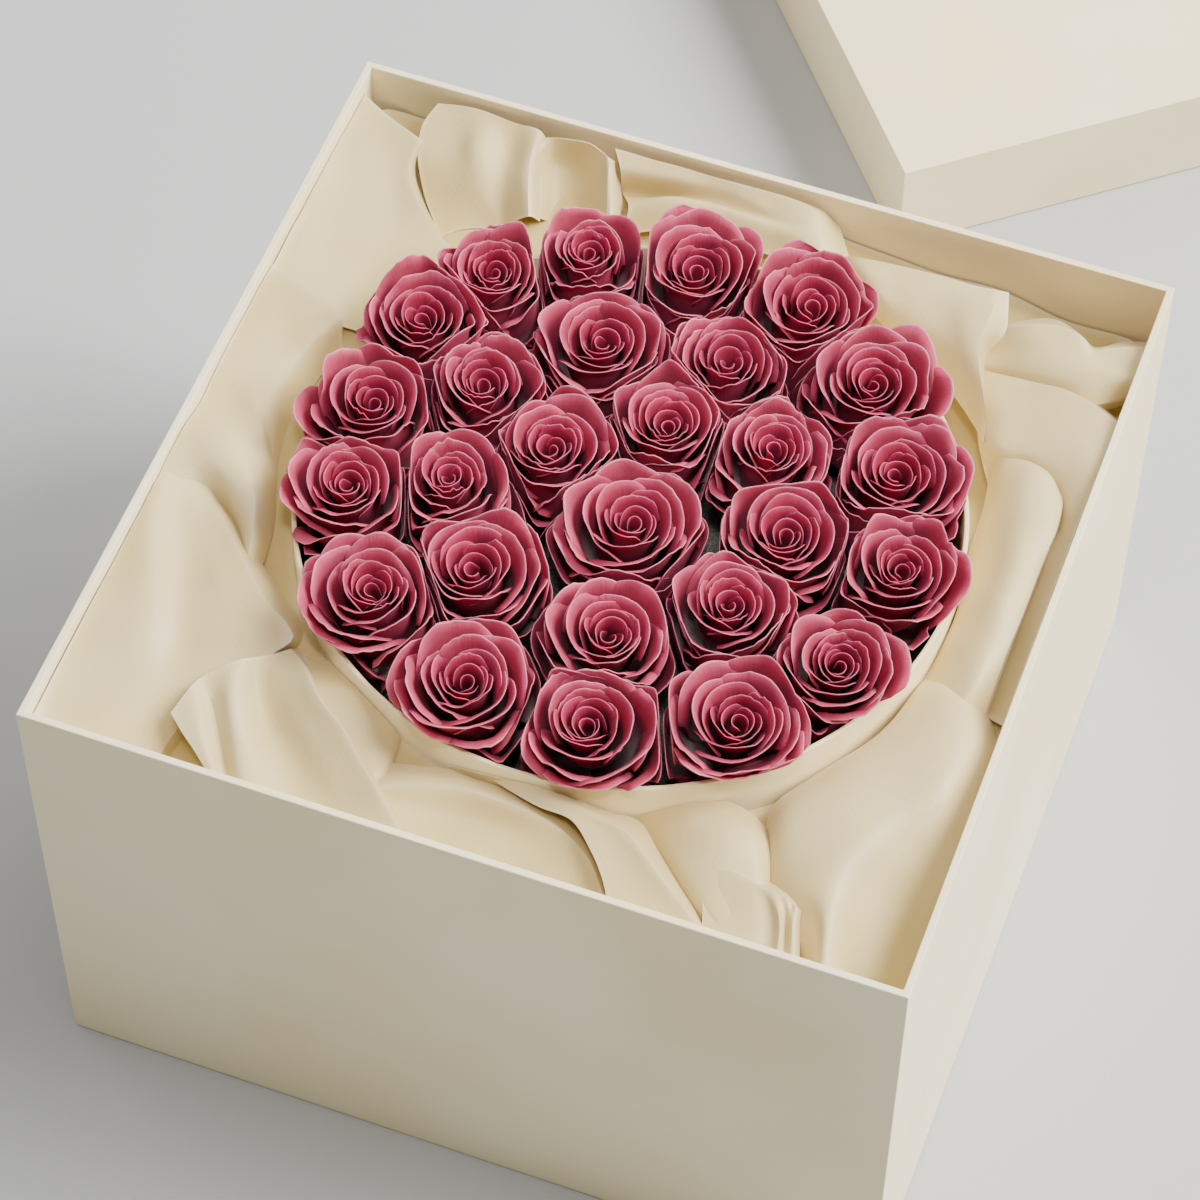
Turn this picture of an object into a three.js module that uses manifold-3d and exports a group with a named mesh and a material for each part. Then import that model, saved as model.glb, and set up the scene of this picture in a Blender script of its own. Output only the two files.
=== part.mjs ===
// Preserved roses in a round box, set in a cloth-lined square gift box, with the lid lying beside it.
// Millimetres. Origin: middle of the square box's underside. +X along its front, +Y to its back, +Z up.
import * as THREE from "three";
import { mergeVertices } from "three/addons/utils/BufferGeometryUtils.js";
import Module from "manifold-3d";

const wasm = await Module();
wasm.setup();

// Driving sizes
const SEAT_GAP = 0.3;
const BOX = { side: 360, height: 240, board: 3 };
const LID = { side: 367, height: 54, board: 2.5, turn: 39.1, nearCorner: [17.8, 358.3] };
const CLOTH = { thick: 1.5, clear: 0.6, stations: 80, panel: 60 };
const SLACK = { valley: 206, middle: 213, hem: 224, highest: 236 };
const CLOTH_LEG = { foot: 0.1, knee: 0.14, kneeHeight: 100, top: 0.03, drop: 4 };
const CLOTH_FOLD_LINES = [0.18, 0.36, 0.55, 0.77, 1];
const DRUM = { x: 5.9, y: 0, radius: 135.2, rim: 235, board: 2, floor: 3, sides: 48 };
const FOAM = { top: 198, clear: 0.8, sides: 40 };
const STEM = { radius: 1.8, holeRadius: 2.5, holeDepth: 46, holeSides: 6 };
const CALYX = { height: 7, swell: 2.8, neck: 4.2, sepal: 9, sepals: 5 };
const BLOOM = { base: 209, height: 48, blade: 0.9, lean: 0.93, leanBy: 0.7, mostLean: 1.1 };
const PRESS = { gap: 0.7, free: 0.78, neighbours: 90, lift: 0.3, mostLift: 4 };
const OVERHANG = { clear: 2, slope: 0.8, below: 5, above: 7 };

const clothFloor = BOX.board + SEAT_GAP + CLOTH.thick / 2;
const drumFloor = clothFloor + CLOTH.thick / 2 + SEAT_GAP;
const foamFloor = drumFloor + DRUM.floor + SEAT_GAP;
const drumInside = DRUM.radius - DRUM.board;

// Where each head stands and how far its outer petals reach: [x, y, reach]
const HEADS = [
  [-85, 83, 27], [-49, 104, 26], [-7, 114, 27], [42, 109, 29], [-101, 50, 27], [-31, 65, 29],
  [22, 70, 27], [80, 83, 29], [-107, 3, 28], [-66, 27, 27], [8, 36, 25], [52, 36, 27],
  [104, 43, 28], [-100, -38, 27], [-61, -23, 26], [-30, 8, 27], [11, -18, 30], [72, -1, 27],
  [117, 0, 28], [-71, -84, 28], [-37, -58, 29], [20, -70, 29], [62, -41, 27], [109, -50, 28],
  [-22, -110, 29], [31, -111, 31], [81, -90, 29],
];

// Petal layers of a head, from the outermost in. foot is the bottom of the gap outside the layer (for
// the outermost, the belly of the head) and lip its rim, as [share of the reach, share of the height].
// Each petal's rim runs inwards by tuck from its left side to its right, so that it slips behind the
// next, and drops by notch at its sides.
const LAYERS = [
  { petals: 5, foot: [0.7, 0.34], lip: [1.12, 0.7], tuck: 0.05, notch: 0.1, turn: 0 },
  { petals: 5, foot: [0.62, 0.48], lip: [0.72, 0.9], tuck: 0.06, notch: 0.1, turn: 30 },
  { petals: 3, foot: [0.4, 0.64], lip: [0.42, 1], tuck: 0.09, notch: 0.05, turn: 75 },
  { petals: 3, foot: [0.22, 0.78], lip: [0.18, 0.99], tuck: 0.12, notch: 0.03, turn: 120 },
];
const BLOOM_BASE = [0.24, 0];
const WELL = [0.05, 0.86];
const STATIONS = 15;
const SIDE_STEP = 3;
const HEAD_TURN = 47;
const LIP_TILT = 0.4;
const UNEVEN = { swing: 5, out: 0.04, up: 0.025 };

// Folds of the cloth: each crest's two ends in plan, its half-width, and how high it rises over the slack
const FOLDS = [
  { from: [150, -40], to: [142, -112], wide: 16, rise: 16 },
  { from: [142, -112], to: [150, -172], wide: 12, rise: 12 },
  { from: [151, 80], to: [159, -20], wide: 12, rise: 15 },
  { from: [148, 121], to: [174, 113], wide: 9, rise: 10 },
  { from: [123, 150], to: [151, 152], wide: 9, rise: 12 },
  { from: [155, 147], to: [176, 156], wide: 7, rise: 8 },
  { from: [105, 160], to: [116, 118], wide: 8, rise: 14 },
  { from: [116, 118], to: [129, 86], wide: 7, rise: 10 },
  { from: [45, 166], to: [105, 168], wide: 8, rise: 8 },
  { from: [-40, 172], to: [26, 174], wide: 9, rise: 8 },
  { from: [-97, 174], to: [-90, 140], wide: 7, rise: 12 },
  { from: [-66, 173], to: [-56, 145], wide: 7, rise: 12 },
  { from: [-143, 149], to: [-122, 103], wide: 9, rise: 11 },
  { from: [-165, 64], to: [-141, 48], wide: 10, rise: 9 },
  { from: [-166, -23], to: [-142, -43], wide: 9, rise: 12 },
  { from: [-142, -43], to: [-122, -90], wide: 8, rise: 11 },
  { from: [-125, -128], to: [-130, -152], wide: 8, rise: 9 },
  { from: [-90, -118], to: [-77, -160], wide: 8, rise: 10 },
  { from: [-75, -122], to: [-40, -165], wide: 8, rise: 14 },
  { from: [-5, -136], to: [57, -170], wide: 9, rise: 12 },
  { from: [78, -125], to: [106, -132], wide: 10, rise: 12 },
  { from: [86, -146], to: [119, -157], wide: 8, rise: 11 },
];

const radians = THREE.MathUtils.degToRad;

// A repeatable random number from -1 to 1 for a head's petal
function jitter(head, layer, petal, which) {
  const mixed = Math.sin(head * 127.1 + layer * 311.7 + petal * 74.7 + which * 19.3) * 43758.5453;
  return 2 * (mixed - Math.floor(mixed)) - 1;
}

function solid(geometry) {
  const bare = geometry.clone();
  bare.deleteAttribute("normal");
  bare.deleteAttribute("uv");
  const merged = mergeVertices(bare, 1e-4);
  const triangles = [];
  for (let i = 0; i < merged.index.count; i += 3) {
    const [a, b, c] = [0, 1, 2].map((k) => merged.index.getX(i + k));
    if (a !== b && b !== c && c !== a) triangles.push(a, b, c);
  }
  return new wasm.Manifold(new wasm.Mesh({
    numProp: 3,
    vertProperties: new Float32Array(merged.attributes.position.array),
    triVerts: new Uint32Array(triangles),
  }));
}

function geometryOf(body) {
  const mesh = body.getMesh();
  const geometry = new THREE.BufferGeometry();
  geometry.setAttribute("position", new THREE.BufferAttribute(mesh.vertProperties, 3));
  geometry.setIndex(new THREE.BufferAttribute(mesh.triVerts, 1));
  geometry.computeVertexNormals();
  return geometry;
}

// A closed body from rings of points, capped at both ends by a middle point
function stack(rings, lowest, highest) {
  const corners = [...lowest];
  const starts = [];
  for (const ring of rings) {
    starts.push(corners.length / 3);
    ring.forEach((point) => corners.push(...point));
  }
  const last = corners.length / 3;
  corners.push(...highest);
  const sides = rings[0].length;
  const faces = [];
  for (let i = 0; i < sides; i++) {
    const next = (i + 1) % sides;
    faces.push(0, starts[0] + next, starts[0] + i);
    for (let k = 0; k < rings.length - 1; k++) {
      faces.push(starts[k] + i, starts[k] + next, starts[k + 1] + next);
      faces.push(starts[k] + i, starts[k + 1] + next, starts[k + 1] + i);
    }
    faces.push(last, starts[rings.length - 1] + i, starts[rings.length - 1] + next);
  }
  const geometry = new THREE.BufferGeometry();
  geometry.setAttribute("position", new THREE.Float32BufferAttribute(corners, 3));
  geometry.setIndex(faces);
  return geometry;
}

function ringAt(x, y, z, radius, sides) {
  return Array.from({ length: sides }, (_, i) => {
    const angle = (2 * Math.PI * i) / sides;
    return [x + radius * Math.cos(angle), y + radius * Math.sin(angle), z];
  });
}

// An open tray with its floor at the bottom
function tray(side, height, board) {
  const outside = new THREE.BoxGeometry(side, side, height).translate(0, 0, height / 2);
  const room = side - 2 * board;
  const inside = new THREE.BoxGeometry(room, room, height).translate(0, 0, height / 2 + board);
  return geometryOf(solid(outside).subtract(solid(inside)));
}

function drumGeometry() {
  const profile = [
    [0, 0], [DRUM.radius, 0], [DRUM.radius, DRUM.rim - drumFloor],
    [drumInside, DRUM.rim - drumFloor], [drumInside, DRUM.floor], [0, DRUM.floor],
  ].map(([r, z]) => new THREE.Vector2(r, z));
  return geometryOf(solid(new THREE.LatheGeometry(profile, DRUM.sides).rotateX(Math.PI / 2)));
}

function foamGeometry() {
  const height = FOAM.top - foamFloor;
  const radius = drumInside - FOAM.clear;
  let block = solid(new THREE.CylinderGeometry(radius, radius, height, FOAM.sides)
    .rotateX(Math.PI / 2).translate(DRUM.x, DRUM.y, foamFloor + height / 2));
  for (let head = 0; head < HEADS.length; head++) {
    const [x, y] = rootOf(head);
    const { holeRadius, holeDepth, holeSides } = STEM;
    const hole = new THREE.CylinderGeometry(holeRadius, holeRadius, 2 * holeDepth, holeSides)
      .rotateX(Math.PI / 2).translate(x, y, FOAM.top);
    block = block.subtract(solid(hole));
  }
  return geometryOf(block);
}

// How far the square box's inner wall is from the drum's axis in one direction
function wallReach(angle) {
  const room = BOX.side / 2 - BOX.board - CLOTH.clear - CLOTH.thick / 2;
  const dx = Math.cos(angle);
  const dy = Math.sin(angle);
  const toSide = (dx > 0 ? room - DRUM.x : room + DRUM.x) / Math.max(Math.abs(dx), 1e-6);
  const toEnd = (dy > 0 ? room - DRUM.y : room + DRUM.y) / Math.max(Math.abs(dy), 1e-6);
  return Math.min(toSide, toEnd);
}

// How far a place is in plan from a fold's crest
function fromCrest([x, y], { from, to }) {
  const [alongX, alongY] = [to[0] - from[0], to[1] - from[1]];
  const share = ((x - from[0]) * alongX + (y - from[1]) * alongY) / (alongX ** 2 + alongY ** 2);
  const nearest = THREE.MathUtils.clamp(share, 0, 1);
  return Math.hypot(x - from[0] - nearest * alongX, y - from[1] - nearest * alongY);
}

function clothHeight(x, y, across) {
  const slack = across < 0.5
    ? THREE.MathUtils.lerp(SLACK.valley, SLACK.middle, across / 0.5)
    : THREE.MathUtils.lerp(SLACK.middle, SLACK.hem, (across - 0.5) / 0.5);
  const rises = FOLDS.map((fold) => fold.rise * Math.exp(-((fromCrest([x, y], fold) / fold.wide) ** 2)));
  return Math.min(SLACK.highest, slack + Math.max(...rises));
}

// The cloth's middle surface in one direction: flat under the drum, up beside it, and in folds to the wall
function clothLine(station) {
  const angle = (2 * Math.PI * station) / CLOTH.stations;
  const inner = DRUM.radius + CLOTH.clear + CLOTH.thick;
  const reach = wallReach(angle);
  const at = (radius, z) => new THREE.Vector3(
    DRUM.x + radius * Math.cos(angle), DRUM.y + radius * Math.sin(angle), z);
  const between = (across, z) => at(THREE.MathUtils.lerp(inner, reach, across), z);
  const folded = (across, drop) => {
    const point = between(across, 0);
    return point.setZ(clothHeight(point.x, point.y, across) - drop);
  };
  return [
    at(CLOTH.panel, clothFloor),
    between(CLOTH_LEG.foot, clothFloor),
    between(CLOTH_LEG.knee, CLOTH_LEG.kneeHeight),
    folded(CLOTH_LEG.top, CLOTH_LEG.drop),
    ...CLOTH_FOLD_LINES.map((across) => folded(across, 0)),
  ];
}

function clothSolid() {
  const around = CLOTH.stations;
  const rows = Array.from({ length: around }, (_, k) => clothLine(k));
  const wide = rows[0].length;
  const normalAt = (k, i) => {
    const round = rows[(k + 1) % around][i].clone().sub(rows[(k - 1 + around) % around][i]);
    const across = rows[k][Math.min(i + 1, wide - 1)].clone().sub(rows[k][Math.max(i - 1, 0)]);
    return across.cross(round).normalize();
  };
  const corners = [];
  const faces = [];
  for (const side of [0.5, -0.5]) {
    corners.push(DRUM.x, DRUM.y, clothFloor + side * CLOTH.thick);
    for (let k = 0; k < around; k++) {
      for (let i = 0; i < wide; i++) {
        const shift = i === 0 ? new THREE.Vector3(0, 0, 1) : normalAt(k, i);
        corners.push(...rows[k][i].clone().addScaledVector(shift, side * CLOTH.thick).toArray());
      }
    }
  }
  const face = 1 + around * wide;
  const over = (k, i) => 1 + (k % around) * wide + i;
  const under = (k, i) => face + over(k, i);
  for (let k = 0; k < around; k++) {
    faces.push(0, over(k, 0), over(k + 1, 0));
    faces.push(face, under(k + 1, 0), under(k, 0));
    for (let i = 0; i < wide - 1; i++) {
      faces.push(over(k, i), over(k, i + 1), over(k + 1, i + 1));
      faces.push(over(k, i), over(k + 1, i + 1), over(k + 1, i));
      faces.push(under(k, i), under(k + 1, i + 1), under(k, i + 1));
      faces.push(under(k, i), under(k + 1, i), under(k + 1, i + 1));
    }
    faces.push(over(k, wide - 1), under(k, wide - 1), under(k + 1, wide - 1));
    faces.push(over(k, wide - 1), under(k + 1, wide - 1), over(k + 1, wide - 1));
  }
  const geometry = new THREE.BufferGeometry();
  geometry.setAttribute("position", new THREE.Float32BufferAttribute(corners, 3));
  geometry.setIndex(faces);
  geometry.computeVertexNormals();
  return geometry;
}

// A head leans outwards, so its root stands nearer the drum's axis than its middle does
function rootOf(head) {
  const [x, y] = HEADS[head];
  return [DRUM.x + (x - DRUM.x) * BLOOM.lean, DRUM.y + (y - DRUM.y) * BLOOM.lean];
}

// The share of a soft limit that a distance reaches: straight at first, then bending short of it
function softly(distance, limit) {
  const free = limit * PRESS.free;
  if (distance <= free) return distance;
  const room = limit - free;
  return limit - room * Math.exp(-(distance - free) / room);
}

// Presses a petal's point back from the neighbouring heads and from the drum's wall
function pressed(point, head) {
  const [x, y, reach] = HEADS[head];
  let dx = point.x - x;
  let dy = point.y - y;
  let squeezed = 0;
  HEADS.forEach(([nx, ny, neighbourReach], other) => {
    const apart = Math.hypot(nx - x, ny - y);
    if (other === head || apart > PRESS.neighbours) return;
    const ux = (nx - x) / apart;
    const uy = (ny - y) / apart;
    const limit = (apart * reach) / (reach + neighbourReach) - PRESS.gap;
    const toward = dx * ux + dy * uy;
    const kept = softly(toward, limit);
    dx += (kept - toward) * ux;
    dy += (kept - toward) * uy;
    squeezed += toward - kept;
  });
  // The heads widen towards the rim and hang a little over it
  const slant = (point.z - DRUM.rim) * OVERHANG.slope;
  const overRim = THREE.MathUtils.clamp(slant, -OVERHANG.below, OVERHANG.above);
  const held = drumInside - OVERHANG.clear + overRim;
  const away = Math.hypot(x + dx - DRUM.x, y + dy - DRUM.y);
  const scale = away > held ? held / away : 1;
  return new THREE.Vector3(
    DRUM.x + (x + dx - DRUM.x) * scale,
    DRUM.y + (y + dy - DRUM.y) * scale,
    point.z + Math.min(PRESS.mostLift, PRESS.lift * squeezed));
}

// A point of a head, from its angle, its share of the reach and its share of the height
function headPoint(head, angle, out, up) {
  const [x, y, reach] = HEADS[head];
  const [rootX, rootY] = rootOf(head);
  const lean = Math.min(up / BLOOM.leanBy, BLOOM.mostLean);
  return pressed(new THREE.Vector3(
    rootX + (x - rootX) * lean + Math.cos(angle) * out * reach,
    rootY + (y - rootY) * lean + Math.sin(angle) * out * reach,
    BLOOM.base + up * BLOOM.height), head);
}

// The angle round the head, and the place from -1 to 1 across its petal, of one station of a layer
function station(head, layer, k) {
  const { petals, turn } = LAYERS[layer];
  const perPetal = STATIONS / petals;
  const place = (k - Math.round((turn * STATIONS) / 360) + STATIONS) % STATIONS;
  const petal = Math.floor(place / perPetal);
  const across = (2 * (place % perPetal)) / (perPetal - 1) - 1;
  const half = 180 / petals - SIDE_STEP;
  const swing = UNEVEN.swing * jitter(head, layer, petal, 0) * (1 - Math.abs(across));
  const degrees = (petal + 0.5) * (360 / petals) + across * half + swing + turn + HEAD_TURN * head;
  return { petal, across, angle: radians(degrees) };
}

// The two edges of a layer's rim, a blade's thickness apart
function lipRings(head, layer) {
  const { lip, tuck, notch } = LAYERS[layer];
  const outside = [];
  const inside = [];
  for (let k = 0; k < STATIONS; k++) {
    const { petal, across, angle } = station(head, layer, k);
    const out = lip[0] * (1 - tuck * across) * (1 + UNEVEN.out * jitter(head, layer, petal, 1));
    const up = lip[1] + UNEVEN.up * jitter(head, layer, petal, 2) - notch * across ** 2;
    const middle = headPoint(head, angle, out, up);
    const inwards = new THREE.Vector3(-Math.cos(angle), -Math.sin(angle), LIP_TILT).normalize();
    outside.push(middle.clone().addScaledVector(inwards, -BLOOM.blade / 2).toArray());
    inside.push(middle.clone().addScaledVector(inwards, BLOOM.blade / 2).toArray());
  }
  return [outside, inside];
}

function plainRing(head, layer, [out, up]) {
  return Array.from({ length: STATIONS }, (_, k) =>
    headPoint(head, station(head, layer, k).angle, out, up).toArray());
}

function bloomGeometry(head) {
  const rings = [plainRing(head, 0, BLOOM_BASE)];
  LAYERS.forEach(({ foot }, layer) => {
    rings.push(plainRing(head, layer, foot), ...lipRings(head, layer));
  });
  rings.push(plainRing(head, LAYERS.length - 1, WELL));
  const lowest = headPoint(head, 0, 0, BLOOM_BASE[1]).toArray();
  const highest = headPoint(head, 0, 0, WELL[1]).toArray();
  return stack(rings, lowest, highest);
}

function stemGeometry(head) {
  const [x, y] = rootOf(head);
  const foot = FOAM.top - STEM.holeDepth + SEAT_GAP;
  const collar = BLOOM.base - SEAT_GAP;
  return stack([
    ringAt(x, y, foot, STEM.radius, CALYX.sepals),
    ringAt(x, y, collar - CALYX.height, STEM.radius, CALYX.sepals),
    ringAt(x, y, collar - CALYX.swell, CALYX.neck, CALYX.sepals),
    ringAt(x, y, collar, CALYX.sepal, CALYX.sepals),
  ], [x, y, foot], [x, y, collar]);
}

const board = new THREE.MeshStandardMaterial({ color: 0xece5d6, roughness: 0.75, metalness: 0 });
const satin = new THREE.MeshStandardMaterial({ color: 0xe3d9c4, roughness: 0.45, metalness: 0 });
const foamGreen = new THREE.MeshStandardMaterial({ color: 0x2b2f2c, roughness: 0.95, metalness: 0 });
const petalRose = new THREE.MeshStandardMaterial({ color: 0xb24f66, roughness: 0.7, metalness: 0 });
const stemGreen = new THREE.MeshStandardMaterial({ color: 0x4b5a3a, roughness: 0.8, metalness: 0 });

const arrangement = new THREE.Group();

function place(name, geometry, material, parent = arrangement) {
  const mesh = new THREE.Mesh(geometry, material.clone());
  mesh.name = name;
  parent.add(mesh);
  return mesh;
}

place("outer_box", tray(BOX.side, BOX.height, BOX.board), board);

const lidPlace = new THREE.Group();
const lidTurn = radians(LID.turn);
const halfLid = LID.side / 2;
lidPlace.position.set(
  LID.nearCorner[0] + halfLid * (Math.cos(lidTurn) - Math.sin(lidTurn)),
  LID.nearCorner[1] + halfLid * (Math.sin(lidTurn) + Math.cos(lidTurn)),
  0);
lidPlace.rotation.z = lidTurn;
arrangement.add(lidPlace);
const lid = place("box_lid", tray(LID.side, LID.height, LID.board), board, lidPlace);
lid.rotation.x = Math.PI;
lid.position.z = LID.height;

place("cloth_liner", clothSolid(), satin);
const drum = place("round_box", drumGeometry(), board);
drum.position.set(DRUM.x, DRUM.y, drumFloor);
place("floral_foam", foamGeometry(), foamGreen);

for (let head = 0; head < HEADS.length; head++) {
  const number = String(head + 1).padStart(2, "0");
  place(`stem_${number}`, stemGeometry(head), stemGreen);
  place(`rose_${number}`, bloomGeometry(head), petalRose);
}

export default arrangement;
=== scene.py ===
"""Preserved roses in a round box, set in a cloth-lined square gift box, with its lid lying behind."""
import math

import bmesh
import bpy
import numpy as np
from mathutils import Matrix, Vector


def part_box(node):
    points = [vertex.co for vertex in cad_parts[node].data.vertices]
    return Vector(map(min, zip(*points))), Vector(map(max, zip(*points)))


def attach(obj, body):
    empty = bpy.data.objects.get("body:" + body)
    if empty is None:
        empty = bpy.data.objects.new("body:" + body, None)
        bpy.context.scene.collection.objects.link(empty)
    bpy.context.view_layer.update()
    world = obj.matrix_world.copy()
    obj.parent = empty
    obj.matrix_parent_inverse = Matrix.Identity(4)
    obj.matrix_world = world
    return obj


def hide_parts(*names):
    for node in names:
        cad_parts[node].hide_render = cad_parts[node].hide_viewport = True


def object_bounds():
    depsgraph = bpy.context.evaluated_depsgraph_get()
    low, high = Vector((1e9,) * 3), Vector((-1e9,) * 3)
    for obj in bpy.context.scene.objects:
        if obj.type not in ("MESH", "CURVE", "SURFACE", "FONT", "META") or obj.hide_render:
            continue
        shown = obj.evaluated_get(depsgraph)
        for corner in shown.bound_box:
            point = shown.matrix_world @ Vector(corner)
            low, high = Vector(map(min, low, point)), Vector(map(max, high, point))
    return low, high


bl_info = {
    "name": "Preserved Rose Arrangement",
    "version": (1, 0, 0),
    "blender": (4, 5, 0),
    "location": "View3D > Sidebar > Roses",
    "description": "Builds a box of preserved roses around its packed solids",
    "category": "Add Mesh",
}

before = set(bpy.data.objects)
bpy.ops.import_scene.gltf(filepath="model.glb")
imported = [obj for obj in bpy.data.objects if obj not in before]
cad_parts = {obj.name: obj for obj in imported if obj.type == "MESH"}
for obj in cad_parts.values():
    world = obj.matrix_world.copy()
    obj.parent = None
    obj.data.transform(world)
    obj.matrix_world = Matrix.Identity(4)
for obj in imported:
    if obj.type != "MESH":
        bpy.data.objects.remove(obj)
CAD_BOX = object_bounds()

MM = 0.001
ROOT = "root"
SEED = 11

# The photograph's camera, in the object's frame
CAMERA_PLACE = (0.3369, -0.9546, 1.5991)
CAMERA_LOOK = (-0.19539, 0.54287, -0.81677)
CAMERA_UP = (-0.28485, 0.76551, 0.57694)
CAMERA_LENS = 127.5
CAMERA_SENSOR = 36

# The studio's area lamps: name, place and target in metres, side in metres, watts, colour
AREA_LAMPS = (
    ("window", (3.0, 1.3, 3.3), (0, 0, 0.2), 2.6, 560, "#FFFBF4"),
    ("overhead", (0.1, -0.4, 2.3), (0, 0, 0.2), 0.8, 12, "#FFF8F6"),
    ("fill", (-2.0, 0.3, 1.5), (0, 0, 0.2), 2.0, 14, "#F1F4FF"),
    ("back", (0.5, 1.7, 1.3), (0.0, 0.62, 0.05), 1.0, 26, "#FFFDFA"),
)
# A narrow soft spot from beside the camera lifts the heads alone
SPOT_PLACE = (0.25, -0.65, 1.9)
SPOT_TARGET = (0, 0, 0.24)
SPOT_WATTS = 110
SPOT_DEGREES = 12
SPOT_BLEND = 0.7
SPOT_RADIUS = 0.12
SPOT_COLOUR = "#FFF4F4"
SKY_COLOUR = "#F6F2E4"
SKY_STRENGTH = 0.36
FLOOR_SIDE = 12
FLOOR_DROP = 0.0005
FLOOR_COLOUR = "#B6B9BD"

# Where each head stands and how far its outer petals reach, in millimetres: (x, y, reach)
HEADS = [
    (-85, 83, 27), (-49, 104, 26), (-7, 114, 27), (42, 109, 29), (-101, 50, 27), (-31, 65, 29),
    (22, 70, 27), (80, 83, 29), (-107, 3, 28), (-66, 27, 27), (8, 36, 25), (52, 36, 27),
    (104, 43, 28), (-100, -38, 27), (-61, -23, 26), (-30, 8, 27), (11, -18, 30), (72, -1, 27),
    (117, 0, 28), (-71, -84, 28), (-37, -58, 29), (20, -70, 29), (62, -41, 27), (109, -50, 28),
    (-22, -110, 29), (31, -111, 31), (81, -90, 29),
]

# A head's height above its calyx, and how it leans out from the drum's axis
HEAD_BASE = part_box("stem_01")[1].z / MM + 0.3
HEAD_HEIGHT = 48
HEAD_LEAN = 0.93
LEAN_BY = 0.7
MOST_LEAN = 1.1
HEAD_TILT = 4.5
# The heads turn a little towards the front, where they are looked at from
FACING = (0.34, -0.94)
FACING_TILT = 0.12
HEART_FORWARD = 2.4
TOP_OF_HEADS = CAD_BOX[1].z / MM - 0.4

# The drum and the square box, from the frame, and their boards in millimetres
DRUM_LOW, DRUM_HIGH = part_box("round_box")
DRUM_X = (DRUM_LOW.x + DRUM_HIGH.x) / 2 / MM
DRUM_Y = (DRUM_LOW.y + DRUM_HIGH.y) / 2 / MM
DRUM_RADIUS = (DRUM_HIGH.x - DRUM_LOW.x) / 2 / MM
DRUM_RIM = DRUM_HIGH.z / MM
DRUM_BOARD = 2
DRUM_INSIDE = DRUM_RADIUS - DRUM_BOARD
BOX_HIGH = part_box("outer_box")[1]
BOX_HALF = BOX_HIGH.x / MM
BOX_RIM = BOX_HIGH.z / MM
BOARD = 3
EDGE_ROUND = 0.5
DRUM_SIDES = 160

# How neighbouring heads and the drum's wall press a head's petals back: the gap to the border
# between two heads, its range in the two outer layers, the share of the way to it that stays free,
# how far apart heads still press, and how much of the pressed way a petal rises instead
PRESS_GAP = 1.1
OUTER_GAPS = ((0.25, 0.7), (0.7, 2.4))
PRESS_FREE = 0.8
PRESS_NEIGHBOURS = 90
PRESS_LIFT = 0.3
MOST_LIFT = 4
# How far the border between two heads strays from their middle, in millimetres
BORDER_STRAY = 2.2
# The petals keep off the drum's wall, and lean out over its rim with this slope, within a height
# below it and above it
OVERHANG_CLEAR = 0.8
OVERHANG_SLOPE = 1.1
OVERHANG_BELOW = 5
OVERHANG_ABOVE = 10

# Petal layers of a head, from the outermost in. line is the middle of a petal from its root to its
# rim, as (share of the reach, share of the height); half is half its width in degrees; tuck draws
# the right side in under the next petal; notch drops the rim's sides and corner draws them in, so
# that the middle is a tip; roll is how far the rim bends out and down, in millimetres.
LAYERS = [
    {"petals": 4, "half": 56, "line": [(0.12, 0.02), (0.98, 0.05), (0.90, 0.52), (1.17, 0.60)],
     "tuck": 0.05, "notch": 0.13, "corner": 0.19, "tip": 0.9, "roll": 4.6, "turn": 0},
    {"petals": 5, "half": 52, "line": [(0.12, 0.05), (0.86, 0.10), (0.72, 0.78), (1.03, 0.84)],
     "tuck": 0.06, "notch": 0.12, "corner": 0.18, "tip": 0.9, "roll": 4.8, "turn": 38},
    {"petals": 5, "half": 54, "line": [(0.12, 0.08), (0.74, 0.14), (0.64, 0.84), (0.86, 0.93)],
     "tuck": 0.08, "notch": 0.1, "corner": 0.14, "tip": 1.0, "roll": 4.2, "turn": 8},
    {"petals": 3, "half": 80, "line": [(0.10, 0.12), (0.46, 0.20), (0.44, 0.86), (0.60, 0.95)],
     "tuck": 0.12, "notch": 0.08, "corner": 0.07, "tip": 1.4, "roll": 3.0, "turn": 50},
    {"petals": 3, "half": 84, "line": [(0.10, 0.16), (0.34, 0.28), (0.33, 0.84), (0.45, 0.94)],
     "tuck": 0.16, "notch": 0.07, "corner": 0.03, "tip": 1.8, "roll": 2.4, "turn": 20},
    {"petals": 3, "half": 84, "line": [(0.08, 0.20), (0.25, 0.34), (0.24, 0.82), (0.33, 0.92)],
     "tuck": 0.19, "notch": 0.05, "corner": 0.0, "tip": 2, "roll": 1.6, "turn": 82},
    {"petals": 2, "half": 120, "line": [(0.05, 0.28), (0.16, 0.40), (0.15, 0.78), (0.21, 0.88)],
     "tuck": 0.24, "notch": 0.04, "corner": 0.0, "tip": 2, "roll": 1.0, "turn": 40},
    {"petals": 1, "half": 165, "line": [(0.03, 0.38), (0.08, 0.48), (0.08, 0.76), (0.10, 0.84)],
     "tuck": 0.34, "notch": 0.03, "corner": 0.0, "tip": 2, "roll": 0.3, "turn": 10},
]
# How far a petal's sides drop below its tip, as a share of the head's height
SIDE_DROP = 0.22
# The outer layers, a share of whose petals have a ragged rim, and how high the rags are
RAGGED_LAYERS = 6
RAGGED_SHARE = 0.7
RAGGED_HIGH = (0.005, 0.014)
# Each head is turned on from the one before it, and each petal strays from its place, in degrees
HEAD_TURN = 47
TURN_SPREAD = 14
# How open the most closed and the most open head is
HEAD_OPEN = (0.82, 1.14)
# The shares by which petals differ in width, corner and roll
WIDTH_SPREAD = (0.92, 1.1)
CORNER_SPREAD = (0.55, 1.3)
ROLL_SPREAD = (0.6, 1.3)
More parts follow.
